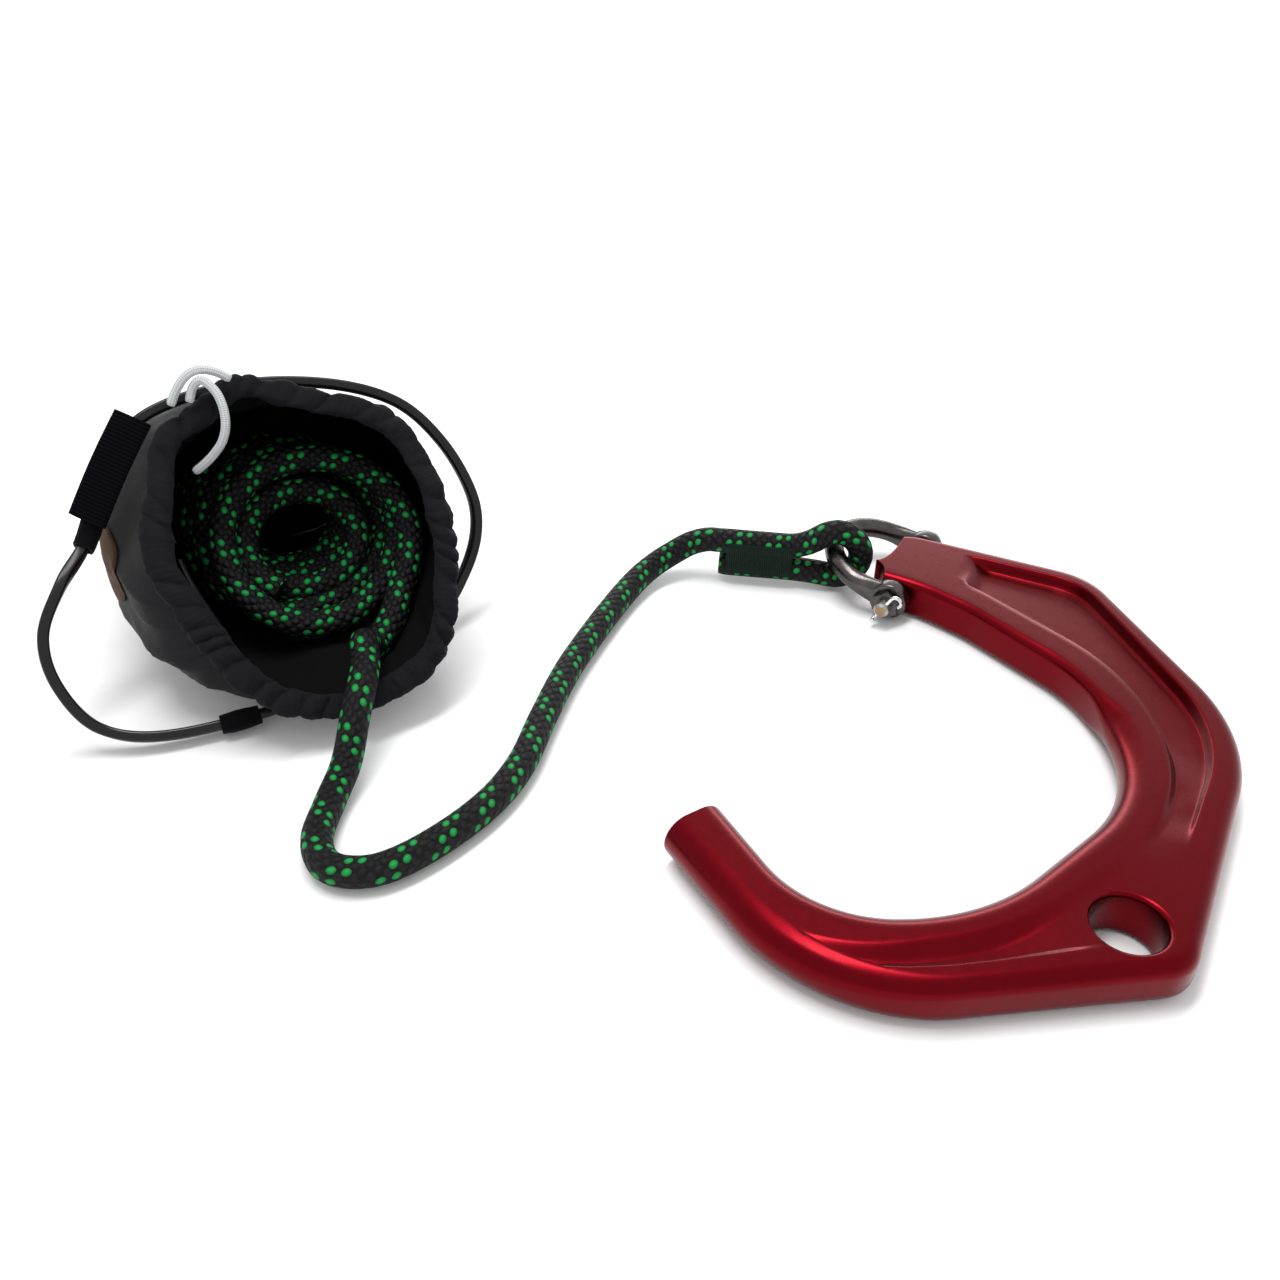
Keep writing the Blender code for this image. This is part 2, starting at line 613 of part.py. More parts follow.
def build_bag(fabric):
    outer = [bag_ring(d) for d in BAG_DEPTHS]
    inner = [bag_ring(d, BAG_WALL) for d in BAG_DEPTHS]
    loops = outer + list(reversed(inner))
    new_object("bag_shell", skin("bag_shell", loops, closed=True), fabric)

    plate = [bag_ring(1.0, 1.0), bag_ring(1.0, 1.0)]
    shift = BAG_BACK * (GAP * MM)
    thick = BAG_BACK * (BAG_WALL * 1.4 * MM)
    rings = [[p + shift for p in plate[0]], [p + shift + thick for p in plate[1]]]
    new_object("bag_base", skin("bag_base", rings), fabric)

    hem_rings = []
    count = 48
    for k in range(count):
        angle = 360 * k / count
        ring = []
        for j in range(10):
            b = 2 * pi * j / 10
            proud = GAP + HEM_THICKNESS / 2 * (1 + sin(b))
            p = mouth_point(angle, mouth_swell(angle) + cos(b) * HEM_WIDTH / 2, proud)
            ring.append(at(p.x, p.y, p.z))
        hem_rings.append(ring)
    new_object("bag_hem", skin("bag_hem", hem_rings, closed=True), fabric)


def coil_ring(depth, half_width, half_height):
    lean = radians(COIL_LEAN)
    slant = BAG_BACK * cos(lean) + UP * sin(lean)
    centre = Vector(COIL_FRONT[:3]).lerp(Vector(COIL_BACK[:3]), depth)
    ring = []
    for k in range(36):
        a = 2 * pi * k / 36
        p = centre + BAG_SIDE * half_width * cos(a) + slant * half_height * sin(a)
        ring.append(at(p.x, p.y, p.z))
    return ring


def build_coil(rope):
    loops = []
    for depth, size in ((0.0, -4.0), (0.05, 0.0), (0.5, 0.0), (0.95, 0.0), (1.0, -4.0)):
        half_width = COIL_FRONT[3] + (COIL_BACK[3] - COIL_FRONT[3]) * depth + size
        half_height = COIL_FRONT[4] + (COIL_BACK[4] - COIL_FRONT[4]) * depth + size
        loops.append(coil_ring(depth, half_width, half_height))
    loops += [coil_ring(depth, COIL_HOLE, COIL_HOLE) for depth in (1.0, 0.5, 0.0)]
    new_object("rope_coil", skin("rope_coil", loops, closed=True), rope)


def hoop_line():
    """The hoop's centre line, evenly spaced, from a closed smooth curve."""
    spots = [Vector((*MOUTH_CENTRE, 0.0)) + BAG_SIDE * a + BAG_BACK * b + UP * c for a, b, c in HOOP_ROUTE]
    fine = []
    count = len(spots)
    for i in range(count):
        p0, p1, p2, p3 = (spots[(i + k) % count] for k in (-1, 0, 1, 2))
        for k in range(12):
            t = k / 12
            fine.append(0.5 * (2 * p1 + (p2 - p0) * t + (2 * p0 - 5 * p1 + 4 * p2 - p3) * t * t
                               + (3 * p1 - p0 - 3 * p2 + p3) * t ** 3))
    return fine + [fine[0]]


def hoop_frame(line, share):
    """A point on the hoop, with its outward and sideways directions."""
    centre = sum(line[:-1], Vector()) / (len(line) - 1)
    spot = walk(line, share % 1.0)
    ahead = (walk(line, (share + 0.006) % 1.0) - walk(line, (share - 0.006) % 1.0)).normalized()
    side = ahead.cross(spot - centre).normalized()
    return spot, side.cross(ahead).normalized(), side


def build_hoop(plastic, fabric):
    line = hoop_line()
    rings = []
    for k in range(HOOP_STEPS):
        spot, out, side = hoop_frame(line, k / HOOP_STEPS)
        ring = []
        for j in range(10):
            a = 2 * pi * j / 10
            p = spot + side * cos(a) * HOOP_BAND[0] / 2 + out * sin(a) * HOOP_BAND[1] / 2
            ring.append(at(p.x, p.y, p.z))
        rings.append(ring)
    new_object("spring_hoop", skin("spring_hoop", rings, closed=True), plastic)

    for name, share in (("hoop_tab_left", LEFT_TAB), ("hoop_tab_front", FRONT_TAB)):
        loops = []
        for along in (-TAB_SPAN / 2, 0.0, TAB_SPAN / 2):
            spot, out, side = hoop_frame(line, share + along)
            pair = []
            for clear in (0.6, 0.6 + TAB_THICKNESS):
                ring = []
                for j in range(16):
                    a = 2 * pi * j / 16
                    across = side * cos(a) * (HOOP_BAND[0] / 2 + clear)
                    p = spot + across + out * sin(a) * (HOOP_BAND[1] / 2 + clear)
                    ring.append(at(p.x, p.y, p.z))
                pair.append(ring)
            loops.append(pair)
        rings = [pair[0] for pair in loops] + [pair[1] for pair in reversed(loops)]
        new_object(name, skin(name, rings, closed=True), fabric, smooth=False)


def band(name, points, normals, width, thickness, mat):
    """A flat strap: centre points in layout millimetres, with the direction it faces at each."""
    rings = []
    for i, (p, n) in enumerate(zip(points, normals)):
        ahead = points[min(i + 1, len(points) - 1)] - points[max(i - 1, 0)]
        side = ahead.cross(n).normalized()
        n = side.cross(ahead).normalized()
        corners = ((-1, -1), (1, -1), (1, 1), (-1, 1))
        ring = [p + side * width / 2 * a + n * thickness / 2 * b for a, b in corners]
        rings.append([at(q.x, q.y, q.z) for q in ring])
    return new_object(name, skin(name, rings), mat, smooth=False)


def build_trim(webbing, cord, plastic, patch):
    line = hoop_line()
    facing = (MOUTH_OUT - BAG_SIDE * 0.2).normalized()
    spots = [hoop_frame(line, STRAP_FROM + (STRAP_TO - STRAP_FROM) * t / 6)[0] for t in range(7)]
    lift = HOOP_BAND[0] / 2 + 2.2
    band("side_strap", [p + facing * lift for p in spots], [facing] * 7, STRAP_WIDTH, 1.6, webbing)

    front = HEM_THICKNESS + GAP
    loop = [mouth_point(angle, out, front + proud) for angle, out, proud in DRAW_LOOP]
    points = smooth_curve([at(p.x, p.y, p.z) for p in loop], 0.006)
    cord_object("draw_cord", points, DRAW_CORD, cord, bevel=2)
    bight = [mouth_point(angle, out, front + proud) for angle, out, proud in DRAW_BIGHT]
    points = smooth_curve([at(p.x, p.y, p.z) for p in bight], 0.006)
    cord_object("draw_cord_bight", points, DRAW_CORD, cord, bevel=2)

    angles = range(170, 234, 6)
    stay = [mouth_point(a, -8.5 - 5 * sin(radians((a - 170) * 2.8)), -8.0) for a in angles]
    normals = [(mouth_point(a) - mouth_point(a, 10.0)).normalized() for a in angles]
    band("mouth_stay", stay, normals, 5.0, 1.6, plastic)

    rows = []
    for lift in (GAP, GAP + 0.8):
        rows.append([])
        for depth in PATCH_DEPTHS:
            ring = bag_ring(depth, -lift)
            rows[-1].append([ring[k] for k in PATCH_SPAN])
    lower, upper = rows
    bm = bmesh.new()
    grids = [[[bm.verts.new(p) for p in row] for row in grid] for grid in (lower, upper)]
    n, m = len(lower), len(PATCH_SPAN)
    for grid in grids:
        for i in range(n - 1):
            for j in range(m - 1):
                bm.faces.new((grid[i][j], grid[i][j + 1], grid[i + 1][j + 1], grid[i + 1][j]))
    edge = [(0, j) for j in range(m)] + [(i, m - 1) for i in range(1, n)]
    edge += [(n - 1, j) for j in range(m - 2, -1, -1)] + [(i, 0) for i in range(n - 2, 0, -1)]
    for (i, j), (p, q) in zip(edge, edge[1:] + edge[:1]):
        bm.faces.new((grids[0][i][j], grids[0][p][q], grids[1][p][q], grids[1][i][j]))
    new_object("side_patch", mesh_from(bm, "side_patch"), patch)


def main():
    for obj in list(bpy.data.objects):
        bpy.data.objects.remove(obj, do_unlink=True)
    red = material("red_anodised", (0.22, 0.012, 0.02), 0.3, 0.9)
    steel = material("steel", (0.5, 0.5, 0.48), 0.3, 1.0)
    dark = material("dark_steel", (0.09, 0.085, 0.08), 0.35, 1.0)
    chrome = material("chrome", (0.75, 0.75, 0.75), 0.12, 1.0)
    rope = material("rope", (0.012, 0.02, 0.014), 0.75)
    thread = material("thread", (0.01, 0.06, 0.03), 0.8)
    fabric = material("bag_fabric", (0.012, 0.012, 0.014), 0.7)
    webbing = material("webbing", (0.008, 0.008, 0.009), 0.6)
    plastic = material("hoop_plastic", (0.006, 0.006, 0.007), 0.2)
    cord = material("white_cord", (0.7, 0.72, 0.74), 0.6)
    patch = material("patch", (0.25, 0.12, 0.04), 0.5)
    build_hook(red)
    build_bow(dark)
    build_bolt(steel, dark, chrome)
    build_rope(rope, thread)
    build_bag(fabric)
    build_coil(rope)
    build_hoop(plastic, webbing)
    build_trim(webbing, cord, plastic, patch)


main()
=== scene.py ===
"""Looks of the throwing-hook kit: forged hook, bolt shackle, sewn braided rope and its soft bag.

Lengths are written in millimetres in the part's layout frame, whose origin is the middle of the
hook's throat; `at` turns them into the model's own frame, in metres.
"""

import json
import random
from math import acos, cos, exp, hypot, pi, radians, sin, sqrt, tan

import bmesh
import bpy
from mathutils import Vector, noise
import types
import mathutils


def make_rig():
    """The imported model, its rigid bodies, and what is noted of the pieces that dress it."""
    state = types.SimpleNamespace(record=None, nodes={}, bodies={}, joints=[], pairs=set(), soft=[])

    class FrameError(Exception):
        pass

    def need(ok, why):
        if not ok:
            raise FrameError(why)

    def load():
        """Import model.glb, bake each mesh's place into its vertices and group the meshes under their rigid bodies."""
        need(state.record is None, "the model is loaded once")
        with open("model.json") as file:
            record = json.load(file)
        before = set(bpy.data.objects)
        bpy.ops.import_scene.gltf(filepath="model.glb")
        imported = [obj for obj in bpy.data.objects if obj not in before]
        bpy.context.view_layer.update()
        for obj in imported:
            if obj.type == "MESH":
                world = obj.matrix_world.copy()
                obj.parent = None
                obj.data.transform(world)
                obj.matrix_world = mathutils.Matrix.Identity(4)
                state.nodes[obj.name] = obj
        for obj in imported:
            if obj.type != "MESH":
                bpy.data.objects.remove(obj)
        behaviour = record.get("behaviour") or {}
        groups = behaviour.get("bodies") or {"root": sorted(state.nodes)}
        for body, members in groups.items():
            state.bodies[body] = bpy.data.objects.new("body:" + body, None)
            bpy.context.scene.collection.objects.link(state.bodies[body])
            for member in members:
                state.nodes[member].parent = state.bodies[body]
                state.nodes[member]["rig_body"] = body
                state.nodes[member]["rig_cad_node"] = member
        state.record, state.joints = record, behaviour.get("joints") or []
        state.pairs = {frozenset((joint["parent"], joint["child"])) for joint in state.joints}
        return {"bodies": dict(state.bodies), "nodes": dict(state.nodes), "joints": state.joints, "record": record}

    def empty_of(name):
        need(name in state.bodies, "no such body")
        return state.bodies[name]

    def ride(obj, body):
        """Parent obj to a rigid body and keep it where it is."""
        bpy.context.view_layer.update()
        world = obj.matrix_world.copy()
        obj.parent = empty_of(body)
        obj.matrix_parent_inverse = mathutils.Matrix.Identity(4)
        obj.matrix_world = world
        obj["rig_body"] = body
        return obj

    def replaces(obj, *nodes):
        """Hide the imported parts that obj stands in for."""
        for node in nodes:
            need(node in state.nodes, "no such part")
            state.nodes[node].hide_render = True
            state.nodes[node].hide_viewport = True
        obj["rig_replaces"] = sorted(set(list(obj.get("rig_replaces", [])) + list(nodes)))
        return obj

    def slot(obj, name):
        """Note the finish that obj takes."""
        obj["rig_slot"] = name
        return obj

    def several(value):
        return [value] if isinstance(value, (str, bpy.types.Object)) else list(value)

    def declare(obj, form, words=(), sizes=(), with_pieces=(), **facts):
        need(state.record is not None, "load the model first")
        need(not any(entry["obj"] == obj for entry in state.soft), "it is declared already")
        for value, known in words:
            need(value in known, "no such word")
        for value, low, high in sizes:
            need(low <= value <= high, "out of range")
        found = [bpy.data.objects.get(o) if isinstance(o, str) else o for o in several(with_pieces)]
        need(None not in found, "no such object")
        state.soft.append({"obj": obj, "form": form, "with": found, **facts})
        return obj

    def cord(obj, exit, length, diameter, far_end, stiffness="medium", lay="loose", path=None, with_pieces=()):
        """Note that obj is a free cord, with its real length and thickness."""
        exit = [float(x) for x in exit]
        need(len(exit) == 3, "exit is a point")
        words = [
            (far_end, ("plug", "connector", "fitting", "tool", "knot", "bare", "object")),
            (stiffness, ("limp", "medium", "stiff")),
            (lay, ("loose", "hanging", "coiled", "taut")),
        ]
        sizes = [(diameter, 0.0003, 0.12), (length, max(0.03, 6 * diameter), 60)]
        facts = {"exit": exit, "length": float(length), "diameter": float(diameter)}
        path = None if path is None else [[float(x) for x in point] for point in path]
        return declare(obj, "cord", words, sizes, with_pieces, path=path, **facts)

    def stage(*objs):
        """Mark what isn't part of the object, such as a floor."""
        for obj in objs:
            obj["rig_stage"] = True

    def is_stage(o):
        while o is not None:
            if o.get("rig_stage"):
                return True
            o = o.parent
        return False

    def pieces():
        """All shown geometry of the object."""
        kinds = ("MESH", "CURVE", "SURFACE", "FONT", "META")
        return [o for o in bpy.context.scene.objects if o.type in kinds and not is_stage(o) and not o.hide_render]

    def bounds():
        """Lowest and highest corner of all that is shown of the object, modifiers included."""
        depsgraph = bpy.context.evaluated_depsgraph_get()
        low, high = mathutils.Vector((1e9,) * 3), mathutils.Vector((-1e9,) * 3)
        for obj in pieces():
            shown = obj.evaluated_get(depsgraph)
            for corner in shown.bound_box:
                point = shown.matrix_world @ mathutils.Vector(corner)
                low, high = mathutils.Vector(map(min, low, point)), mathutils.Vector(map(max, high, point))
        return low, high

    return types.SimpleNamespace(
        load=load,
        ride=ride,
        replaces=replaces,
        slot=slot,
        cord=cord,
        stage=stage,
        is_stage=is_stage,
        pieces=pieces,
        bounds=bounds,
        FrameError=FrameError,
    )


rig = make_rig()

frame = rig.load()
CAD_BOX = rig.bounds()

MM = 0.001
KIT_CENTRE = (-85.6, 32.1)
GAP = 0.35
UP = Vector((0, 0, 1))


# ---- plain geometry helpers ----------------------------------------------------------------
def at(x, y, z):
    return Vector((x - KIT_CENTRE[0], y - KIT_CENTRE[1], z)) * MM


def at_point(p):
    return at(p.x, p.y, p.z)


def heading(angle):
    return Vector((cos(radians(angle)), sin(radians(angle)), 0.0))


def degrees(a):
    return a * 180 / pi


def circle(count, start=0.0):
    """(cosine, sine) of evenly spaced angles, once round."""
    angles = [2 * pi * (k + start) / count for k in range(count)]
    return [(cos(a), sin(a)) for a in angles]


def ease(a, b, x):
    t = max(0.0, min(1.0, (x - a) / (b - a)))
    return t * t * (3 - 2 * t)


def table(keys, x):
    """Linear interpolation in pairs (x, value)."""
    for (x0, v0), (x1, v1) in zip(keys, keys[1:]):
        if x <= x1:
            return v0 + (v1 - v0) * (x - x0) / (x1 - x0)
    return keys[-1][1]


def soft_table(keys, x):
    """Eased interpolation in pairs (x, value)."""
    for (x0, v0), (x1, v1) in zip(keys, keys[1:]):
        if x <= x1:
            return v0 + (v1 - v0) * ease(x0, x1, x)
    return keys[-1][1]


class Line:
    """A polyline that can be read at a share of its length."""

    def __init__(self, points):
        self.points = points
        self.marks = [0.0]
        for a, b in zip(points, points[1:]):
            self.marks.append(self.marks[-1] + (b - a).length)
        self.length = self.marks[-1]

    def read(self, share):
        goal = max(0.0, min(1.0, share)) * self.length
        low, high = 0, len(self.marks) - 1
        while high - low > 1:
            middle = (low + high) // 2
            if self.marks[middle] <= goal:
                low = middle
            else:
                high = middle
        span = self.marks[high] - self.marks[low]
        return self.points[low].lerp(self.points[high], (goal - self.marks[low]) / span if span else 0.0)

    def even(self, spacing):
        count = max(2, round(self.length / spacing))
        return [self.read(k / count) for k in range(count + 1)]


def catmull(points, closed=False, pieces=16):
    """Fine points of a Catmull-Rom curve through the given ones."""
    count = len(points)
    if closed:
        sets = [[points[(i + k) % count] for k in (-1, 0, 1, 2)] for i in range(count)]
    else:
        ends = [points[0] * 2 - points[1], *points, points[-1] * 2 - points[-2]]
        sets = [ends[i:i + 4] for i in range(count - 1)]
    fine = []
    for p0, p1, p2, p3 in sets:
        for k in range(pieces):
            t = k / pieces
            fine.append(0.5 * (2 * p1 + (p2 - p0) * t + (2 * p0 - 5 * p1 + 4 * p2 - p3) * t * t
                               + (3 * p1 - p0 - 3 * p2 + p3) * t ** 3))
    fine.append(fine[0].copy() if closed else points[-1].copy())
    return fine


def rounded_path(corners, step=1.0):
    """Plan points along straight edges whose corners are rounded by arcs."""
    points = [Vector(corners[0][:2])]
    for i in range(1, len(corners) - 1):
        before, corner, after = (Vector(corners[k][:2]) for k in (i - 1, i, i + 1))
        radius = corners[i][2]
        u, v = (before - corner).normalized(), (after - corner).normalized()
        half = acos(max(-1.0, min(1.0, u.dot(v)))) / 2
        centre = corner + (u + v).normalized() * radius / sin(half)
        start, end = corner + u * radius / tan(half), corner + v * radius / tan(half)
        sweep = pi - 2 * half
        pieces = max(2, round(radius * sweep / step))
        a, b = start - centre, end - centre
        for k in range(pieces + 1):
            t = k / pieces
            shares = sin((1 - t) * sweep) / sin(sweep), sin(t * sweep) / sin(sweep)
            points.append(centre + a * shares[0] + b * shares[1])
    points.append(Vector(corners[-1][:2]))
    return points


def transported(points, first_normal):
    """(point, normal, binormal) along a line, turning no more than the line does."""
    frames = []
    normal = first_normal
    for i, p in enumerate(points):
        ahead = points[min(i + 1, len(points) - 1)] - points[max(i - 1, 0)]
        tangent = ahead.normalized()
        normal = (normal - tangent * normal.dot(tangent)).normalized()
        frames.append((p, normal, tangent.cross(normal)))
    return frames


def skinned(name, rings, closed=False, caps=True, uv=None):
    """Object through rings of points in metres; uv(i, j) gives its place in the cloth or round it."""
    bm = bmesh.new()
    layer = bm.loops.layers.uv.new("UVMap")
    rows = [[bm.verts.new(p) for p in ring] for ring in rings]
    count = len(rows[0])
    for i in range(len(rows) if closed else len(rows) - 1):
        a, b = rows[i], rows[(i + 1) % len(rows)]
        for j in range(count):
            k = (j + 1) % count
            face = bm.faces.new((a[j], a[k], b[k], b[j]))
            face.smooth = True
            if uv:
                corners = ((i, j), (i, j + 1), (i + 1, j + 1), (i + 1, j))
                for loop, corner in zip(face.loops, corners):
                    loop[layer].uv = uv(*corner)
    if caps and not closed:
        bm.faces.new(rows[0])
        bm.faces.new(reversed(rows[-1]))
    bmesh.ops.recalc_face_normals(bm, faces=bm.faces)
    mesh = bpy.data.meshes.new(name)
    bm.to_mesh(mesh)
    bm.free()
    obj = bpy.data.objects.new(name, mesh)
    bpy.context.scene.collection.objects.link(obj)
    return obj


def build(name, rings, material, slot, closed=False, caps=True, uv=None, sharp=50):
    """A visible piece: skinned, with its material and slot; sharp is an angle in degrees."""
    obj = skinned(name, rings, closed, caps, uv)
    obj.data.set_sharp_from_angle(angle=radians(sharp))
    obj.data.materials.append(material)
    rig.slot(obj, slot)
    return obj


def lathe_rings(origin, axis, profile, sides):
    """Rings of a turned shape; profile is (millimetres along the axis, radius)."""
    turn = UP.rotation_difference(axis).to_matrix()
    return [[origin + turn @ (Vector((r * c, r * s, z)) * MM) for c, s in circle(sides)] for z, r in profile]


def lathe(name, origin, axis, profile, material, slot):
    return build(name, lathe_rings(origin, axis, profile, 64), material, slot, sharp=35)


def sweep(name, points, radius, sides, material, slot, first_normal, radius_at=None):
    """Round tube along points in metres, with UVs: turns around, metres along."""
    marks = Line(points).marks
    rings = []
    for i, (p, normal, binormal) in enumerate(transported(points, first_normal)):
        r = (radius_at(i) if radius_at else radius) * MM
        rings.append([p + (normal * c + binormal * s) * r for c, s in circle(sides)])
    return build(name, rings, material, slot, uv=lambda i, j: (j / sides, marks[i]), sharp=70)


def apply_modifiers(obj):
    graph = bpy.context.evaluated_depsgraph_get()
    mesh = bpy.data.meshes.new_from_object(obj.evaluated_get(graph))
    obj.modifiers.clear()
    obj.data = mesh


def thicken(obj, thickness, offset=-1):
    """Gives cloth its thickness, in millimetres, to one side of the surface."""
    thick = obj.modifiers.new("cloth_thickness", "SOLIDIFY")
    thick.thickness = thickness * MM
    thick.offset = offset
    apply_modifiers(obj)


# ---- materials -----------------------------------------------------------------------------
class Signal:
    """A shader value that can be added, multiplied and so on."""

    def __init__(self, nodes, socket):
        self.nodes, self.socket = nodes, socket

    def __add__(self, other):
        return self.nodes.math("ADD", self, other)

    def __sub__(self, other):
        return self.nodes.math("SUBTRACT", self, other)

    def __rsub__(self, other):
        return self.nodes.math("SUBTRACT", other, self)

    def __mul__(self, other):
        return self.nodes.math("MULTIPLY", self, other)

    def __truediv__(self, other):
        return self.nodes.math("DIVIDE", self, other)


class Nodes:
    """A material with one Principled shader, and short ways to add nodes to it."""

    def __init__(self, name, color, roughness, metallic=0.0, **sockets):
        self.material = bpy.data.materials.new(name)
        self.material.use_nodes = True
        self.tree = self.material.node_tree
        self.shader = self.tree.nodes["Principled BSDF"]
        self.shader.inputs["Base Color"].default_value = (*color, 1)
        self.shader.inputs["Roughness"].default_value = roughness
        self.shader.inputs["Metallic"].default_value = metallic
        for key, value in sockets.items():
            self.shader.inputs[key.replace("_", " ")].default_value = value

    def node(self, kind, **inputs):
        made = self.tree.nodes.new(kind)
        for key, value in inputs.items():
            self.put(made.inputs[key.replace("_", " ")], value)
        return made

    def put(self, socket, value):
        value = getattr(value, "socket", value)
        if hasattr(value, "is_linked"):
            self.tree.links.new(value, socket)
        else:
            socket.default_value = value

    def math(self, operation, a, b=0.0):
        made = self.tree.nodes.new("ShaderNodeMath")
        made.operation = operation
        self.put(made.inputs[0], a)
        self.put(made.inputs[1], b)
        return Signal(self, made.outputs[0])

    def uv(self):
        """The two UV values: metres in cloth; turns around and metres along a round piece."""
        split = self.node("ShaderNodeSeparateXYZ", Vector=self.coordinates("UV"))
        return Signal(self, split.outputs["X"]), Signal(self, split.outputs["Y"])

    def ribs(self, along, pitch):
        """Waves every pitch millimetres of a UV value."""
        return self.math("SINE", along * (2 * pi / (pitch * MM)))

    def coordinates(self, kind="Object"):
        return self.node("ShaderNodeTexCoord").outputs[kind]

    def scaled(self, vector, scale):
        made = self.tree.nodes.new("ShaderNodeMapping")
        self.put(made.inputs["Vector"], vector)
        made.inputs["Scale"].default_value = scale
        return made.outputs["Vector"]

    def noise(self, vector, scale, detail=4.0, roughness=0.55):
        made = self.node("ShaderNodeTexNoise", Vector=vector, Scale=scale, Detail=detail,
                         Roughness=roughness)
        return Signal(self, made.outputs["Fac"])

    def ramp(self, value, stops):
        made = self.tree.nodes.new("ShaderNodeValToRGB")
        self.put(made.inputs["Fac"], value)
        ramp = made.color_ramp
        ramp.elements[0].position, ramp.elements[0].color = stops[0][0], (*stops[0][1], 1)
        ramp.elements[1].position, ramp.elements[1].color = stops[-1][0], (*stops[-1][1], 1)
        for position, color in stops[1:-1]:
            element = ramp.elements.new(position)
            element.color = (*color, 1)
        return made.outputs["Color"]

    def span(self, value, low, high, to_low, to_high):
        made = self.node("ShaderNodeMapRange")
        self.put(made.inputs["Value"], value)
        for key, number in zip(("From Min", "From Max", "To Min", "To Max"), (low, high, to_low, to_high)):
            made.inputs[key].default_value = number
        return Signal(self, made.outputs["Result"])

    def bump(self, height, distance, strength=1.0, onto=None):
        made = self.node("ShaderNodeBump", Height=height, Distance=distance, Strength=strength)
        if onto is not None:
            self.put(made.inputs["Normal"], onto)
        return made.outputs["Normal"]

    def set(self, name, value):
        self.put(self.shader.inputs[name], value)


def anodised_red():
    m = Nodes("red_anodised", (0.135, 0.0013, 0.0053), 0.3, 1.0, Coat_Weight=0.06, Coat_Roughness=0.2)
    place = m.coordinates()
    broad = m.noise(place, 14.0, 2.0)
    m.set("Base Color", m.ramp(broad, ((0.3, (0.123, 0.0011, 0.0047)), (0.7, (0.147, 0.0016, 0.006)))))
    fine = m.noise(place, 2600.0, 2.0, 0.7)
    m.set("Roughness", m.span(m.noise(place, 400.0, 2.0), 0.3, 0.7, 0.27, 0.31))
    m.set("Normal", m.bump(fine, 0.00003, 0.35))
    return m.material


def steel(name, color, roughness, grain=900.0):
    m = Nodes(name, color, roughness, 1.0)
    place = m.coordinates()
    patchy = m.noise(place, 180.0, 4.0)
    low, high = tuple(c * 0.75 for c in color), tuple(min(1.0, c * 1.25) for c in color)
    m.set("Base Color", m.ramp(patchy, ((0.3, low), (0.7, high))))
    m.set("Roughness", m.span(m.noise(place, grain, 3.0), 0.3, 0.7, roughness * 0.8, roughness * 1.3))
    m.set("Normal", m.bump(m.noise(place, grain * 2, 2.0), 0.00004, 0.4))
    return m.material


ROPE = 10.0
BRAID_STRANDS = 8                # in each direction
BRAID_STEP = 4.0                 # along the rope between neighbouring strands
FLOAT_WIDTH, FLOAT_LENGTH = 0.44, 0.53       # half a strand's float on top, in strand cells


def braid():
    """Sixteen-strand plain braid: black, with two green strands in every four one way round. Its colour carries
    painted shade, darker down between the floats and towards each float's edge.
    """
    m = Nodes("rope_braid", (0.012, 0.012, 0.015), 0.62, 0.0, Specular_IOR_Level=0.2)
    turns, metres = m.uv()
    around, along = turns * float(BRAID_STRANDS), metres / (BRAID_STEP * MM)
    p, q = around + along, around - along
    p_cell, q_cell = m.math("FLOOR", p), m.math("FLOOR", q)
    p_part, q_part = p - p_cell - 0.5, q - q_cell - 0.5
    under = m.math("FLOORED_MODULO", p_cell + q_cell, 2.0)       # 0: the green way is on top
    over = 1.0 - under

    def float_shape(narrow, long):
        a = m.math("POWER", m.math("ABSOLUTE", narrow / FLOAT_WIDTH), 2.0)
        b = m.math("POWER", m.math("ABSOLUTE", long / FLOAT_LENGTH), 2.0)
        return 1.0 - (a + b)

    one, two = float_shape(p_part, q_part), float_shape(q_part, p_part)
    height = m.math("MAXIMUM", one * over + two * under, -0.25)
    green_strand = m.math("LESS_THAN", m.math("FLOORED_MODULO", p_cell, 4.0), 1.5)
    yarn = m.noise(m.scaled(m.coordinates("UV"), (60.0, 3500.0, 1.0)), 1.0, 3.0)
    # painted shade: the black is darker where the braid's height is low, between the floats; yarn adds random tone
    black = m.ramp(height * 0.5 + yarn * 0.3, (
        (0.0, (0.0008, 0.0008, 0.001)), (0.35, (0.0035, 0.0035, 0.0045)), (0.8, (0.009, 0.0085, 0.0105))))
    # painted shade: each green float is lighter at its crown and darker towards its edges
    green = m.ramp(one * 0.5 + yarn * 0.5, ((0.1, (0.001, 0.06, 0.012)), (0.75, (0.006, 0.30, 0.055))))
    mix = m.node("ShaderNodeMix")
    mix.data_type = "RGBA"
    m.put(mix.inputs[0], green_strand * over * m.span(one, 0.0, 0.12, 0.0, 1.0))
    m.put(mix.inputs[6], black)
    m.put(mix.inputs[7], green)
    m.set("Base Color", mix.outputs[2])
    m.set("Normal", m.bump(height + yarn * 0.35, 0.0007, 0.9))
    return m.material


def stitching():
    m = Nodes("stitch_thread", (0.002, 0.016, 0.007), 0.6, 0.0, Specular_IOR_Level=0.2)
    wave = m.ribs(m.uv()[1], 0.9)
    ragged = m.noise(m.scaled(m.coordinates("UV"), (900.0, 900.0, 1.0)), 1.0, 3.0)
    # painted shade: the thread is darker in the troughs between stitches, from the same wave that drives the bump;
    # ragged adds random tone
    greens = ((0.2, (0.0005, 0.004, 0.002)), (0.9, (0.002, 0.022, 0.009)))
    m.set("Base Color", m.ramp(wave * 0.3 + ragged, greens))
    m.set("Normal", m.bump(wave + ragged, 0.00025, 0.9))
    return m.material


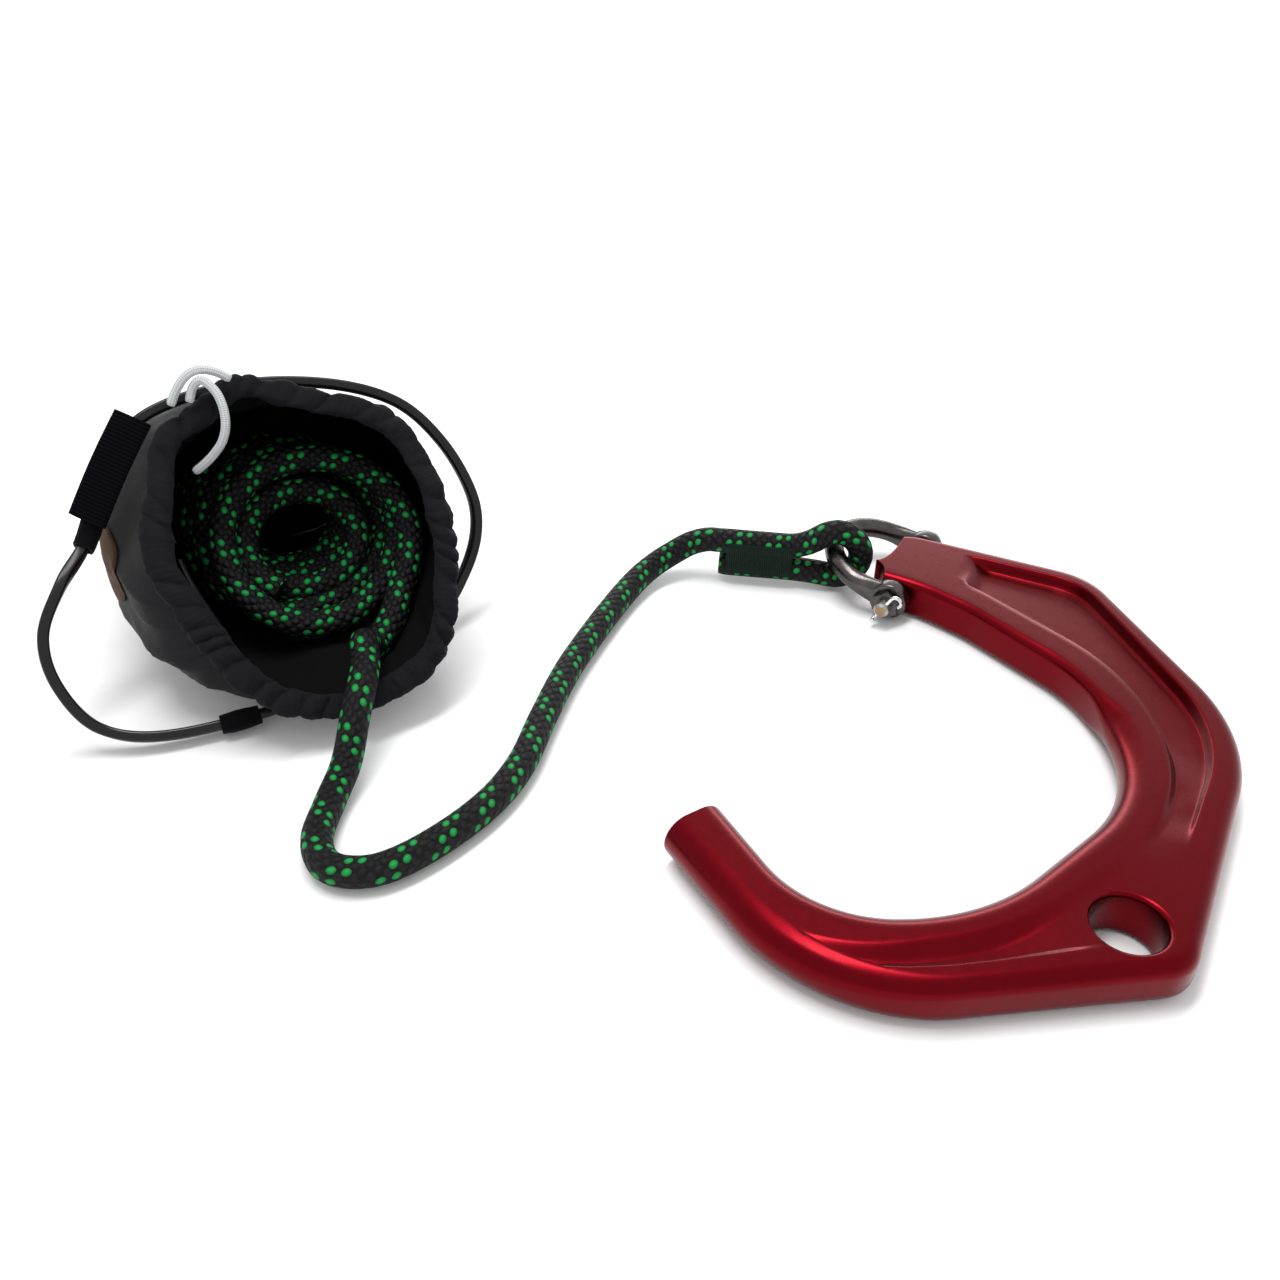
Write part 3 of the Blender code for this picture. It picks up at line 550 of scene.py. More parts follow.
def cloth(name, dark, light, thread=0.45, roughness=0.7, sheen=0.02, shine=0.1):
    """Plain woven nylon on UVs in metres, with slight shading from wear and dust, and slight painted shade in the dips
    of the weave.
    """
    m = Nodes(name, light, roughness, 0.0, Sheen_Weight=sheen, Sheen_Roughness=0.45, Specular_IOR_Level=shine)
    across, along = m.uv()
    weave = m.ribs(across, thread) * m.ribs(along, thread)
    dust = m.noise(m.coordinates(), 75.0, 5.0, 0.65)
    fleck = m.noise(m.coordinates(), 1300.0, 2.0, 0.7)
    # painted shade: the weave's dips are slightly darker; dust and fleck are random tone
    m.set("Base Color", m.ramp(weave * 0.10 + (dust * 0.6 + fleck * 0.4), ((0.25, dark), (0.75, light))))
    m.set("Roughness", m.span(dust, 0.3, 0.7, roughness * 0.85, min(1.0, roughness * 1.15)))
    crumple = m.bump(m.noise(m.coordinates(), 210.0, 4.0), 0.0006, 0.35)
    m.set("Normal", m.bump(weave, 0.00010, 0.7, crumple))
    return m.material


def webbing():
    m = Nodes("webbing", (0.002, 0.002, 0.003), 0.6, 0.0, Specular_IOR_Level=0.02)
    across, along = m.uv()
    rib = m.ribs(along, 1.3)
    relief = rib + rib * m.ribs(across, 0.7) * 0.5
    blacks = ((0.1, (0.0008, 0.0008, 0.0012)), (0.9, (0.0035, 0.0033, 0.0048)))
    # painted shade: the grooves between the ribs are darker, following the same relief as the bump
    m.set("Base Color", m.ramp(relief * 0.3 + 0.5, blacks))
    m.set("Normal", m.bump(relief, 0.0002, 0.8))
    return m.material


def gloss_black():
    m = Nodes("hoop_black", (0.006, 0.006, 0.007), 0.22, 0.0, Specular_IOR_Level=0.3)
    scuff = m.noise(m.scaled(m.coordinates("UV"), (40.0, 260.0, 1.0)), 1.0, 5.0, 0.6)
    m.set("Roughness", m.span(scuff, 0.35, 0.7, 0.18, 0.34))
    m.set("Normal", m.bump(m.noise(m.coordinates(), 300.0, 2.0), 0.00008, 0.3))
    return m.material


def white_cord_material():
    m = Nodes("white_cord", (0.72, 0.73, 0.73), 0.55, 0.0, Subsurface_Weight=0.1, Subsurface_Scale=0.001)
    turns, metres = m.uv()
    around, along = turns * 4.0, metres / (1.4 * MM)
    plait = m.math("SINE", (around + along) * (2 * pi)) * m.math("SINE", (around - along) * (2 * pi))
    # painted shade: the sunken parts of the plait are painted darker grey, following the same relief as the bump
    m.set("Base Color", m.ramp(plait * 0.4 + 0.5, ((0.1, (0.34, 0.36, 0.37)), (0.9, (0.62, 0.63, 0.63)))))
    m.set("Normal", m.bump(plait, 0.00018, 0.7))
    return m.material


RED = anodised_red()
DARK_STEEL = steel("dark_steel", (0.085, 0.078, 0.076), 0.26)
GREY_STEEL = steel("grey_steel", (0.36, 0.37, 0.35), 0.36)
CHROME = steel("chrome_wire", (0.72, 0.72, 0.74), 0.12)
BOLT_END = steel("bolt_end", (0.30, 0.19, 0.11), 0.4)
BRAID = braid()
THREAD = stitching()
SHELL_CLOTH = cloth("bag_cloth", (0.003, 0.003, 0.004), (0.010, 0.0095, 0.0115), roughness=0.5, shine=0.16)
INNER_CLOTH = cloth("bag_lining", (0.0008, 0.0008, 0.001), (0.002, 0.002, 0.0024), sheen=0.0)
HEM_CLOTH = cloth("hem_cloth", (0.002, 0.0018, 0.0026), (0.0095, 0.0085, 0.0115), thread=0.6)
TAB_CLOTH = cloth("tab_cloth", (0.0015, 0.0015, 0.002), (0.005, 0.005, 0.006), shine=0.04)
PATCH_CLOTH = cloth("patch_cloth", (0.04, 0.016, 0.005), (0.10, 0.045, 0.016), roughness=0.5, shine=0.08)
WEBBING = webbing()
HOOP_BLACK = gloss_black()
WHITE_CORD = white_cord_material()


# ---- the hook ------------------------------------------------------------------------------
HOOK_THICKNESS = 16.0
HOOK_INNER = (
    (10.0, 100.8, 0.0),
    (31.5, 87.8, 60.0),
    (46.5, 72.8, 60.0),
    (79.0, 27.6, 60.0),
    (79.0, -25.6, 59.0),
    (18.2, -76.6, 66.0),
    (-29.1, -76.6, 38.0),
    (-53.0, -32.0, 0.0),
)
HOOK_OUTER = (
    (24.0, 126.5, 0.0),
    (36.3, 128.0, 15.0),
    (99.8, 96.0, 25.0),
    (125.0, -1.2, 75.0),
    (70.2, -97.0, 13.0),
    (-33.0, -109.0, 62.0),
    (-71.2, -43.4, 0.0),
)
EDGE_MATCH = (
    (0.0, 0.0), (0.10, 0.075), (0.22, 0.17), (0.33, 0.305), (0.42, 0.41), (0.50, 0.49),
    (0.575, 0.60), (0.66, 0.70), (0.78, 0.80), (0.87, 0.895), (1.0, 1.0),
)
HOOK_STATIONS = 360
ELBOW_HOLE = (56.3, -82.0)
ELBOW_HOLE_RADIUS = 10.5
ELBOW_HOLE_ROUNDING = 1.8
SHANK = heading(-29.0)
PIN_AXIS = heading(61.0)
PIN_CENTRE = (31.0, 109.6)
PIN_HEIGHT = HOOK_THICKNESS / 2
PIN = at(*PIN_CENTRE, PIN_HEIGHT)
BORE_RADIUS = 3.4

# Along the hook, 0 at the shackle and 1 at the tip.
BEAD_WIDTH = ((0.0, 15.0), (0.25, 15.0), (0.45, 15.5), (0.6, 14.5), (0.75, 14.0), (0.86, 19.0), (1.0, 20.0))
RIM_WIDTH = ((0.0, 8.0), (0.3, 9.0), (0.47, 11.0), (0.75, 9.0), (0.86, 4.0), (1.0, 2.0))
BEAD_STEP = ((0.0, 0.0), (0.12, 0.0), (0.14, 3.6), (0.28, 4.0), (0.40, 4.2), (0.47, 2.6), (0.56, 0.0),
             (0.63, 0.8), (0.72, 3.0), (0.82, 2.4), (0.875, 0.0), (1.0, 0.0))
RIM_STEP = ((0.0, 0.0), (0.105, 0.0), (0.135, 4.2), (0.42, 4.2), (0.50, 1.8), (0.535, 0.0), (0.625, 0.0),
            (0.72, 2.6), (0.82, 2.2), (0.875, 0.0), (1.0, 0.0))
BEAD_RUN = ((0.0, 4.0), (0.2, 3.4), (0.33, 2.6), (0.5, 3.6), (0.62, 7.0), (1.0, 7.0))
RIM_RUN = ((0.0, 2.2), (0.5, 1.8), (0.62, 2.0), (0.85, 3.0), (1.0, 3.0))
INNER_RADIUS = ((0.0, 3.0), (0.33, 3.6), (0.385, 8.0), (1.0, 8.0))
OUTER_RADIUS = ((0.0, 4.0), (0.45, 5.0), (0.75, 5.0), (0.87, 8.0), (1.0, 8.0))
ROUND_STEPS = 10
PROFILE_STEPS = (4, 9, 8, 9, 4)  # over the bead, its wall, the floor, the other wall and the rim
LEAST_FLAT = 1.5                 # kept between the edge roundings and the middle of a section
TIP_ROUNDING = 2.2
END_FROM, END_TO = -4.0, HOOK_THICKNESS + 4.0
BORE_REACH = 40
HOLE_REACH = 12.0


def quarter(count):
    """(1 - cosine, sine) of the angles from 0 to 90 degrees."""
    return [(1 - cos(pi / 2 * k / count), sin(pi / 2 * k / count)) for k in range(count + 1)]


def hook_half(u, width):
    """Half of the hook's cross-section at u: (distance from the inner edge, half thickness)."""
    half = HOOK_THICKNESS / 2
    r_in = min(soft_table(INNER_RADIUS, u), width / 2 - LEAST_FLAT)
    r_out = min(soft_table(OUTER_RADIUS, u), width / 2 - LEAST_FLAT)
    bead, rim = soft_table(BEAD_WIDTH, u), width - soft_table(RIM_WIDTH, u)
    near, far = soft_table(BEAD_STEP, u), soft_table(RIM_STEP, u)
    near_run, far_run = soft_table(BEAD_RUN, u) / 2, soft_table(RIM_RUN, u) / 2
    walls = (bead - near_run, bead + near_run, rim - far_run, rim + far_run)
    first, last = r_in, width - r_out
    stops = [first]
    for k, wall in enumerate(walls):
        stops.append(max(stops[-1] + 0.15, min(wall, last - 0.3 * (len(walls) - k))))
    stops.append(last)
    spread = []
    for low, high, count in zip(stops, stops[1:], PROFILE_STEPS):
        spread += [low + (high - low) * k / count for k in range(count)]
    points = [(r_in * a, half - r_in + r_in * b) for a, b in quarter(ROUND_STEPS)]
    for s in spread[1:]:
        floor_share = max(0.0, min(1.0, (s - bead) / max(0.1, rim - bead)))
        depth = near + (far - near) * floor_share
        depth *= ease(*walls[:2], s)
        depth *= 1 - ease(*walls[2:], s)
        points.append((s, half - depth))
    points += [(width - r_out * a, half - r_out + r_out * b) for a, b in reversed(quarter(ROUND_STEPS))]
    return points


def hook_rings():
    inner, outer = Line(rounded_path(HOOK_INNER)), Line(rounded_path(HOOK_OUTER))
    rings = []
    for i in range(HOOK_STATIONS + 1):
        u = i / HOOK_STATIONS
        a, b = inner.read(u), outer.read(table(EDGE_MATCH, u))
        across = (b - a).normalized()
        profile = hook_half(u, (b - a).length)
        upper = [(a + across * p, PIN_HEIGHT + h) for p, h in profile]
        lower = [(a + across * p, PIN_HEIGHT - h) for p, h in reversed(profile)]
        rings.append([at(p.x, p.y, z) for p, z in upper + lower])
    return rings


def tip_rings(ring, ahead):
    """Rounds off the tip's flat end: the last ring shrinks along a quarter circle."""
    centre = sum(ring, Vector()) / len(ring)
    rings = []
    for inward, forward in quarter(6)[1:]:
        shrink = 1 - TIP_ROUNDING * inward / (HOOK_THICKNESS / 2)
        push = ahead * (TIP_ROUNDING * forward - TIP_ROUNDING) * MM
        rings.append([centre + (p - centre) * shrink + push for p in ring])
    return rings


def shank_end_rings():
    """Everything beyond the shank's end: two hollow curves that meet at a pointed tongue."""
    def bezier(a, b, c, count=16):
        shares = [k / count for k in range(count + 1)]
        return [a * (1 - t) ** 2 + b * 2 * t * (1 - t) + c * t * t for t in shares]

    near, tongue, far = Vector((-4.6, -18.0)), Vector((-10.8, -9.3)), Vector((-6.9, 8.0))
    outline = [Vector((-30, -30)), Vector((near.x, -30)), *bezier(near, Vector((-5.6, -11.0)), tongue)]
    outline += [*bezier(tongue, Vector((-6.4, -6.0)), far)[1:], Vector((far.x, 30)), Vector((-30, 30))]
    centre = Vector((*PIN_CENTRE, 0.0))
    return [[at_point(centre + SHANK * p.x + PIN_AXIS * p.y + UP * z) for p in outline]
            for z in (END_FROM, END_TO)]


def cut(obj, other):
    mod = obj.modifiers.new(other.name, "BOOLEAN")
    mod.operation = "DIFFERENCE"
    mod.solver = "EXACT"
    mod.object = other


def make_hook():
    rings = hook_rings()
    ahead = (rings[-1][0] - rings[-2][0]).normalized()
    rings += tip_rings(rings.pop(), ahead)
    hook = build("hook_forging", rings, RED, "red_anodised", sharp=180)
    flare = [(-HOLE_REACH, ELBOW_HOLE_RADIUS + ELBOW_HOLE_ROUNDING)]
    for k in range(9):
        a = pi / 2 * (1 - k / 8)
        inward, outward = ELBOW_HOLE_ROUNDING * (1 - sin(a)), ELBOW_HOLE_ROUNDING * (1 - cos(a))
        flare.append((-HOOK_THICKNESS / 2 + inward, ELBOW_HOLE_RADIUS + outward))
    flare += [(-z, r) for z, r in reversed(flare)]
    bore = [(-BORE_REACH, BORE_RADIUS), (BORE_REACH, BORE_RADIUS)]
    cutters = [
        skinned("cut_end", shank_end_rings()),
        skinned("cut_bore", lathe_rings(PIN, PIN_AXIS, bore, 48)),
        skinned("cut_hole", lathe_rings(at(*ELBOW_HOLE, PIN_HEIGHT), UP, flare, 96)),
    ]
    for other in cutters:
        cut(hook, other)
    apply_modifiers(hook)
    for other in cutters:
        bpy.data.objects.remove(other, do_unlink=True)
    bevel = hook.modifiers.new("soft_edges", "BEVEL")
    bevel.width = 0.6 * MM
    bevel.segments = 3
    bevel.limit_method = "ANGLE"
    bevel.angle_limit = radians(48)
    apply_modifiers(hook)
    hook.data.shade_smooth()
    hook.data.set_sharp_from_angle(angle=radians(40))
    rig.ride(hook, "hook")
    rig.replaces(hook, "hook_body")


# ---- the shackle ---------------------------------------------------------------------------
BOLT_RADIUS = 3.0
JAW_WIDTH = 38.4
EAR_THICKNESS = 5.4
EAR_RADIUS = 7.5
BOW_BAR = 8.0
BOW_LEG = 9.9
BOW_LIFT = 15.0
HEAD_HEIGHT = 4.2
HEAD_RADIUS = 5.6
NUT_RADIUS = 5.8
NUT_HEIGHT = 3.2
BOLT_TAIL = 4.2
SPLIT_PIN = 1.5
EAR_FACE = JAW_WIDTH / 2 + EAR_THICKNESS + GAP       # where the bolt's head and the nut begin

BOW_OUT = (-SHANK * cos(radians(BOW_LIFT)) + UP * sin(radians(BOW_LIFT))).normalized()
BOW_RADIUS = (JAW_WIDTH + EAR_THICKNESS) / 2
BOW_CENTRE = PIN + BOW_OUT * BOW_LEG * MM


def bow_point(angle):
    a = radians(angle)
    return BOW_CENTRE + (BOW_OUT * cos(a) - PIN_AXIS * sin(a)) * BOW_RADIUS * MM


def make_bow():
    normal = BOW_OUT.cross(PIN_AXIS)
    legs = 12
    path = []
    for side in (-1, 1):
        stretch = []
        for k in range(legs):
            along = 1.0 + (BOW_LEG - 1.0) * k / legs
            stretch.append((PIN + BOW_OUT * along * MM - PIN_AXIS * side * BOW_RADIUS * MM, PIN_AXIS * -side))
        for k in range(46):
            spot = bow_point(side * (90 - 2 * k))
            stretch.append((spot, (spot - BOW_CENTRE).normalized()))
        path += stretch if side == -1 else list(reversed(stretch))[1:]
    rings = []
    for spot, out in path:
        lean = ease(3.0, 17.0, (spot - PIN).dot(BOW_OUT) / MM)
        wide = (EAR_THICKNESS + (BOW_BAR - EAR_THICKNESS) * lean) / 2 * MM
        tall = (BOW_BAR + 3.0 * (1 - lean)) / 2 * MM
        rings.append([spot + out * wide * c + normal * tall * s for c, s in circle(32)])
    bow = build("bow_forging", rings, DARK_STEEL, "dark_steel", sharp=60)
    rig.ride(bow, "shackle")
    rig.replaces(bow, "shackle_bow")
    half, edge = EAR_THICKNESS / 2, 1.0
    profile = [(-half, BOLT_RADIUS + 0.4), (-half, EAR_RADIUS - edge)]
    profile += [(-half + edge * (1 - cos(a)), EAR_RADIUS - edge + edge * sin(a))
                for a in (pi / 8, pi / 4, 3 * pi / 8, pi / 2)]
    profile += [(-z, r) for z, r in reversed(profile)]
    for side in (-1, 1):
        rings = lathe_rings(PIN - PIN_AXIS * side * BOW_RADIUS * MM, PIN_AXIS, profile, 48)
        name = f"bow_ear_{'nut' if side == 1 else 'head'}"
        ear = build(name, rings, DARK_STEEL, "dark_steel", closed=True, sharp=40)
        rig.ride(ear, "shackle")


def make_bolt():
    tail = EAR_FACE + NUT_HEIGHT + BOLT_TAIL
    top = EAR_FACE + HEAD_HEIGHT
    shaft = [(-tail, BOLT_RADIUS - 0.9), (-tail + 0.9, BOLT_RADIUS), (EAR_FACE, BOLT_RADIUS)]
    head = [(EAR_FACE, HEAD_RADIUS - 0.4), (EAR_FACE + 0.4, HEAD_RADIUS), (top - 1.3, HEAD_RADIUS)]
    head += [(top - down, HEAD_RADIUS - inward) for down, inward in ((0.9, 0.15), (0.4, 0.6), (0.0, 1.5))]
    head += [(top, 2.2), (top - 0.5, 1.8)]
    bolt = lathe("bolt_headed", PIN, PIN_AXIS, shaft + head, GREY_STEEL, "steel")
    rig.ride(bolt, "pin")
    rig.replaces(bolt, "shackle_bolt")
    disc = [(-tail - 0.12, BOLT_RADIUS - 1.1), (-tail + 0.1, BOLT_RADIUS - 0.85)]
    end = lathe("bolt_end_face", PIN, PIN_AXIS, disc, BOLT_END, "steel")
    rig.ride(end, "pin")


def make_nut():
    turn = UP.rotation_difference(PIN_AXIS).to_matrix()
    rings = []
    for along, corner in ((0.0, 0.86), (0.5, 1.0), (NUT_HEIGHT - 0.6, 1.0), (NUT_HEIGHT, 0.86)):
        ring = []
        for j in range(48):
            a = 2 * pi * j / 48
            to_flat = NUT_RADIUS * cos(pi / 6) / cos((a % (pi / 3)) - pi / 6)
            radius = min(to_flat, NUT_RADIUS * corner)
            ring.append(PIN + turn @ (Vector((radius * cos(a), radius * sin(a), -EAR_FACE - along)) * MM))
        rings.append(ring)
    nut = build("hex_nut", rings, DARK_STEEL, "dark_steel", sharp=25)
    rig.ride(nut, "pin")
    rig.replaces(nut, "shackle_nut")


def make_split_pin():
    pin_at = PIN - PIN_AXIS * (EAR_FACE + NUT_HEIGHT + BOLT_TAIL / 2) * MM
    across = (SHANK * 0.5 + UP * 0.866).normalized()
    side = across.cross(PIN_AXIS)
    eye = [pin_at + (across * (6.4 + 2.1 * sin(a)) + side * (2.1 * cos(a) - 2.1)) * MM
           for a in (radians(d) for d in range(210, -1, -15))]
    leg = [pin_at + across * along * MM for along in (3.8, 2.0, 0.0, -2.0, -3.7)]
    bend = [leg[-1] + (across * (-2.0 * sin(a)) - PIN_AXIS * (2.0 - 2.0 * cos(a))) * MM
            for a in (radians(d) for d in (25, 50, 75, 95))]
    path = catmull(eye + leg + bend, pieces=4)
    wire = sweep("split_pin_wire", path, SPLIT_PIN / 2, 14, CHROME, "chrome", side)
    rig.ride(wire, "pin")
    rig.replaces(wire, "split_pin")


# ---- the rope ------------------------------------------------------------------------------
ROPE_REST = 5.3
EYE = heading(-9.0)
EYE_BAR = bow_point(33.0)
EYE_SLACK = 1.2
EYE_TURN = (BOW_BAR + ROPE) / 2 + EYE_SLACK
EYE_LEG = 50.0
LEG_LIFT = 1.6
LOWER_LEG = LEG_LIFT - EYE_TURN
UPPER_LEG = LOWER_LEG + ROPE + 2 * GAP
STITCH_FROM = 17.0
STITCH_TO = 44.0

# The rope's run on the ground, from the sewn legs to the bag's lip: x, y, z.
ROPE_RUN = (
    (-57.0, 121.9, 14.6), (-64.3, 120.6, 10.8), (-71.5, 116.5, 8.0),
    (-78.6, 108.2, 6.3), (-86.5, 93.5, ROPE_REST), (-96.0, 70.5, ROPE_REST),
    (-105.0, 45.5, ROPE_REST), (-112.0, 18.5, ROPE_REST), (-117.5, -5.0, ROPE_REST),
    (-126.5, -24.0, ROPE_REST), (-141.8, -42.0, ROPE_REST), (-157.0, -52.5, ROPE_REST),
    (-171.0, -51.5, ROPE_REST), (-177.5, -40.0, ROPE_REST), (-177.0, -23.0, ROPE_REST),
    (-174.0, -9.0, 9.5), (-172.0, 4.0, 20.0), (-171.0, 14.0, 24.8),
    (-171.5, 24.0, 26.6), (-173.5, 33.0, 28.0),
)

BAG_BACK = heading(112.0)
BAG_SIDE = heading(22.0)

# The coil: wide turns stacked towards the base, then smaller turns inside them, coming forwards.
COIL_FRONT = Vector((-195.4, 62.7, 46.0))
COIL_BACK = Vector((-228.3, 122.7, 35.3))
COIL_UP = BAG_BACK * cos(radians(45)) + UP * sin(radians(45))
COIL_FACE = COIL_UP.cross(BAG_SIDE).normalized()
COIL_DEPTH = (COIL_BACK - COIL_FRONT).dot(COIL_FACE)
WIDE_TURNS = 4.6
SMALL_TURNS = 4.2


def coil_spot(right, up, depth):
    """Across a slanting plane of the coil: right and up in it, depth behind its front face."""
    return COIL_FRONT.lerp(COIL_BACK, depth / COIL_DEPTH) + BAG_SIDE * right + COIL_UP * up


def eye_route():
    def spot(along, height):
        return EYE_BAR + (EYE * along + UP * height) * MM

    tail = [spot(along, LOWER_LEG) for along in (3.0 - EYE_LEG, -33.0, -17.0)] + [spot(-7.0, LOWER_LEG - 0.7)]
    nose = [spot(EYE_TURN * sin(a), -EYE_TURN * cos(a)) for a in (radians(d) for d in range(0, 181, 20))]
    back = [spot(-4.5, EYE_TURN - 1.5), spot(-9.0, 5.4), spot(-13.5, UPPER_LEG + 1.1)]
    back += [spot(along, UPPER_LEG) for along in (-19.0, -32.0, -42.0, -50.0)]
    return tail + nose + back


def coil_route():
    """From just inside the lip: round the wide turns to the back, then forwards inside them."""
    rng = random.Random(4)
    spots = [coil_spot(13.5, -38.5, 1.0), coil_spot(22.5, -31.5, 3.6)]
    steps = 18
    start = radians(-42)
    for k in range(int(WIDE_TURNS * steps) + 1):
        turn = k / steps
        a = start + 2 * pi * turn
        late = ease(2.6, 4.6, turn)
        left = 25.5 + 9.5 * min(1.0, turn / 2.4) - 2.0 * late
        right = 38.0 - 4.5 * min(1.0, turn / 2.4) - 2.0 * late
        tall = 32.5 - 0.8 * turn - 1.6 * late
        wobble = 0.6 * sin(3 * a + turn) + rng.uniform(-0.3, 0.3)
        depth = 5.6 + (COIL_DEPTH - 11.0) * turn / WIDE_TURNS
        reach = (right - left) / 2 + ((right + left) / 2 + wobble) * cos(a)
        spots.append(coil_spot(reach, -0.6 * turn + (tall + wobble) * sin(a), depth))
    end = start + 2 * pi * WIDE_TURNS
    for k in range(1, int(SMALL_TURNS * steps) + 1):
        turn = k / steps
        a = end + 2 * pi * turn
        radius = 32.0 - 11.4 * ease(0.0, 0.75, turn) + 0.7 * sin(2.3 * turn)
        depth = COIL_DEPTH - 5.4 - (COIL_DEPTH - 21.0) * turn / SMALL_TURNS
        low = -3.5 * ease(0.0, 2.0, turn)
        spots.append(coil_spot(1.5 + radius * cos(a), low + radius * 0.93 * sin(a), depth))
    return spots


def rope_route():
    start = eye_route()[-1] - EYE * 2.0 * MM
    run = [at(*p) for p in ROPE_RUN]
    coil = [at_point(p) for p in coil_route()]
    fine = catmull(eye_route() + [start] + run + coil, pieces=10)
    return Line(fine).even(2.4 * MM)


def make_rope():
    points = rope_route()
    tip = len(points) - 1

    def radius_at(i):
        edge = min(i, tip - i)
        return ROPE / 2 * (0.90 if edge == 0 else 0.985 if edge == 1 else 1.0)

    rope = sweep("braided_rope", points, ROPE / 2, 20, BRAID, "rope", UP, radius_at)
    exit_point = EYE_BAR + (UP * LOWER_LEG - EYE * 20.0) * MM
    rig.ride(rope, "bag_and_rope")
    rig.replaces(rope, "rope_eye", "rope_run", "rope_coil")
    stitches = make_stitching()
    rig.cord(rope, exit=exit_point, length=round(Line(points).length, 2), diameter=ROPE * MM, far_end="bare",
            stiffness="limp", lay="coiled", path=points, with_pieces=[stitches])


def make_stitching():
    """Thread sewn through both legs: it bridges the groove between them on either side."""
    side = EYE.cross(UP)
    middle = LOWER_LEG + ROPE / 2 + GAP
    rings = []
    steps = 44
    for i in range(steps + 1):
        along = -STITCH_TO + (STITCH_TO - STITCH_FROM) * i / steps
        taper = ease(0.0, 0.05, i / steps) * ease(0.0, 0.05, 1 - i / steps)
        ring = []
        for j in range(40):
            a = 2 * pi * j / 40
            high = 7.4 * sin(a)
            hug = sqrt(max(0.0, 1 - ((abs(high) - 5.35) / 5.0) ** 2)) * 5.0 if abs(high) > 0.35 else 0.0
            groove = max(hug, 4.15 + 0.6 * (abs(high) / 5.35) ** 2) + 0.55 * taper
            across = (groove if cos(a) > 0 else -groove) * min(1.0, abs(cos(a)) * 2.4)
            ring.append(EYE_BAR + (EYE * along + side * across + UP * (middle + high)) * MM)
        rings.append(ring)
    band = build("eye_sewing", rings, THREAD, "thread", sharp=70,
                 uv=lambda i, j: (j * 0.75 * MM, i * (STITCH_TO - STITCH_FROM) / steps * MM))
    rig.ride(band, "bag_and_rope")
    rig.replaces(band, "eye_stitching")
    return band


# ---- the bag -------------------------------------------------------------------------------
MOUTH_CENTRE = Vector((-193.0, 48.0, 0.0))
MOUTH_HALF_WIDTH = 49.5
MOUTH_HALF_HEIGHT = 54.5
MOUTH_LEAN = 50.0
MOUTH_BOTTOM = 12.0
BODY_HALF_WIDTH = 56.0
BODY_HALF_HEIGHT = 31.0
BAG_LENGTH = 110.0
BELLY = 10.0
BELLY_ANGLE = 214.0
BELLY_SPREAD = 38.0
HEM_WIDTH = 8.0
HEM_THICKNESS = 5.0
GATHERS = 33
# How far the mouth's outline stands outside an ellipse, by its angle: drawn up at the top left,
# slack below.
MOUTH_SWELL = (
    (0, -2.0), (45, 3.0), (70, 0.0), (85, 2.0), (100, 7.5), (114, 4.5), (128, 6.0), (150, -1.0),
    (172, -3.0), (192, -8.0), (210, -9.0), (228, -6.5), (250, -3.0), (280, -1.0), (312, 2.0),
    (340, -2.0), (360, -2.0),
)

MOUTH_UP = BAG_BACK * cos(radians(MOUTH_LEAN)) + UP * sin(radians(MOUTH_LEAN))
MOUTH_OUT = BAG_SIDE.cross(MOUTH_UP).normalized()

SACK_AROUND = 260
SACK_ALONG = 84


def gather(a):
    """Puckers of the gathered cloth round the mouth: 0 in a pinch, 1 on a puff; a in radians."""
    phase = GATHERS / 2 * a + 1.9 * sin(3 * a + 1.0) + 1.1 * sin(7 * a) + 0.6 * sin(13 * a + 2.0)
    depth = 0.45 + 0.55 * (0.5 + 0.5 * sin(5 * a + 0.6) * sin(2 * a))
    return 1 - depth * (1 - abs(sin(phase)) ** 0.6)


def plain_sack(a, depth, proud=0.0):
    """The sack without folds, in layout millimetres: a in radians, depth 0 (mouth) to 1 (base)."""
    lean = radians(MOUTH_LEAN + (82.0 - MOUTH_LEAN) * ease(0.0, 1.0, depth))
    slant = BAG_BACK * cos(lean) + UP * sin(lean)
    half_width = MOUTH_HALF_WIDTH + (BODY_HALF_WIDTH - MOUTH_HALF_WIDTH) * ease(0.0, 0.4, depth)
    half_width -= 3.0 * ease(0.7, 1.0, depth)
    half_height = MOUTH_HALF_HEIGHT + (BODY_HALF_HEIGHT - MOUTH_HALF_HEIGHT) * max(0.0, depth) ** 0.85
    bottom = MOUTH_BOTTOM + (0.5 - MOUTH_BOTTOM) * ease(0.42, 0.75, depth)
    base = MOUTH_CENTRE - BAG_SIDE * 8.0 * ease(0.12, 0.5, depth)
    centre = base + BAG_BACK * BAG_LENGTH * depth + UP * (bottom + half_height * sin(lean))
    belly = BELLY * ease(0.0, 0.14, depth) * (1 - ease(0.3, 0.6, depth))
    swell = (1 - ease(0.0, 0.2, depth)) * soft_table(MOUTH_SWELL, degrees(a) % 360)
    sag = belly * exp(-((a % (2 * pi) - radians(BELLY_ANGLE)) / radians(BELLY_SPREAD)) ** 2) + proud + swell
    return centre + BAG_SIDE * (half_width + sag) * cos(a) + slant * (half_height + sag) * sin(a)


FOLD_SEED = 11


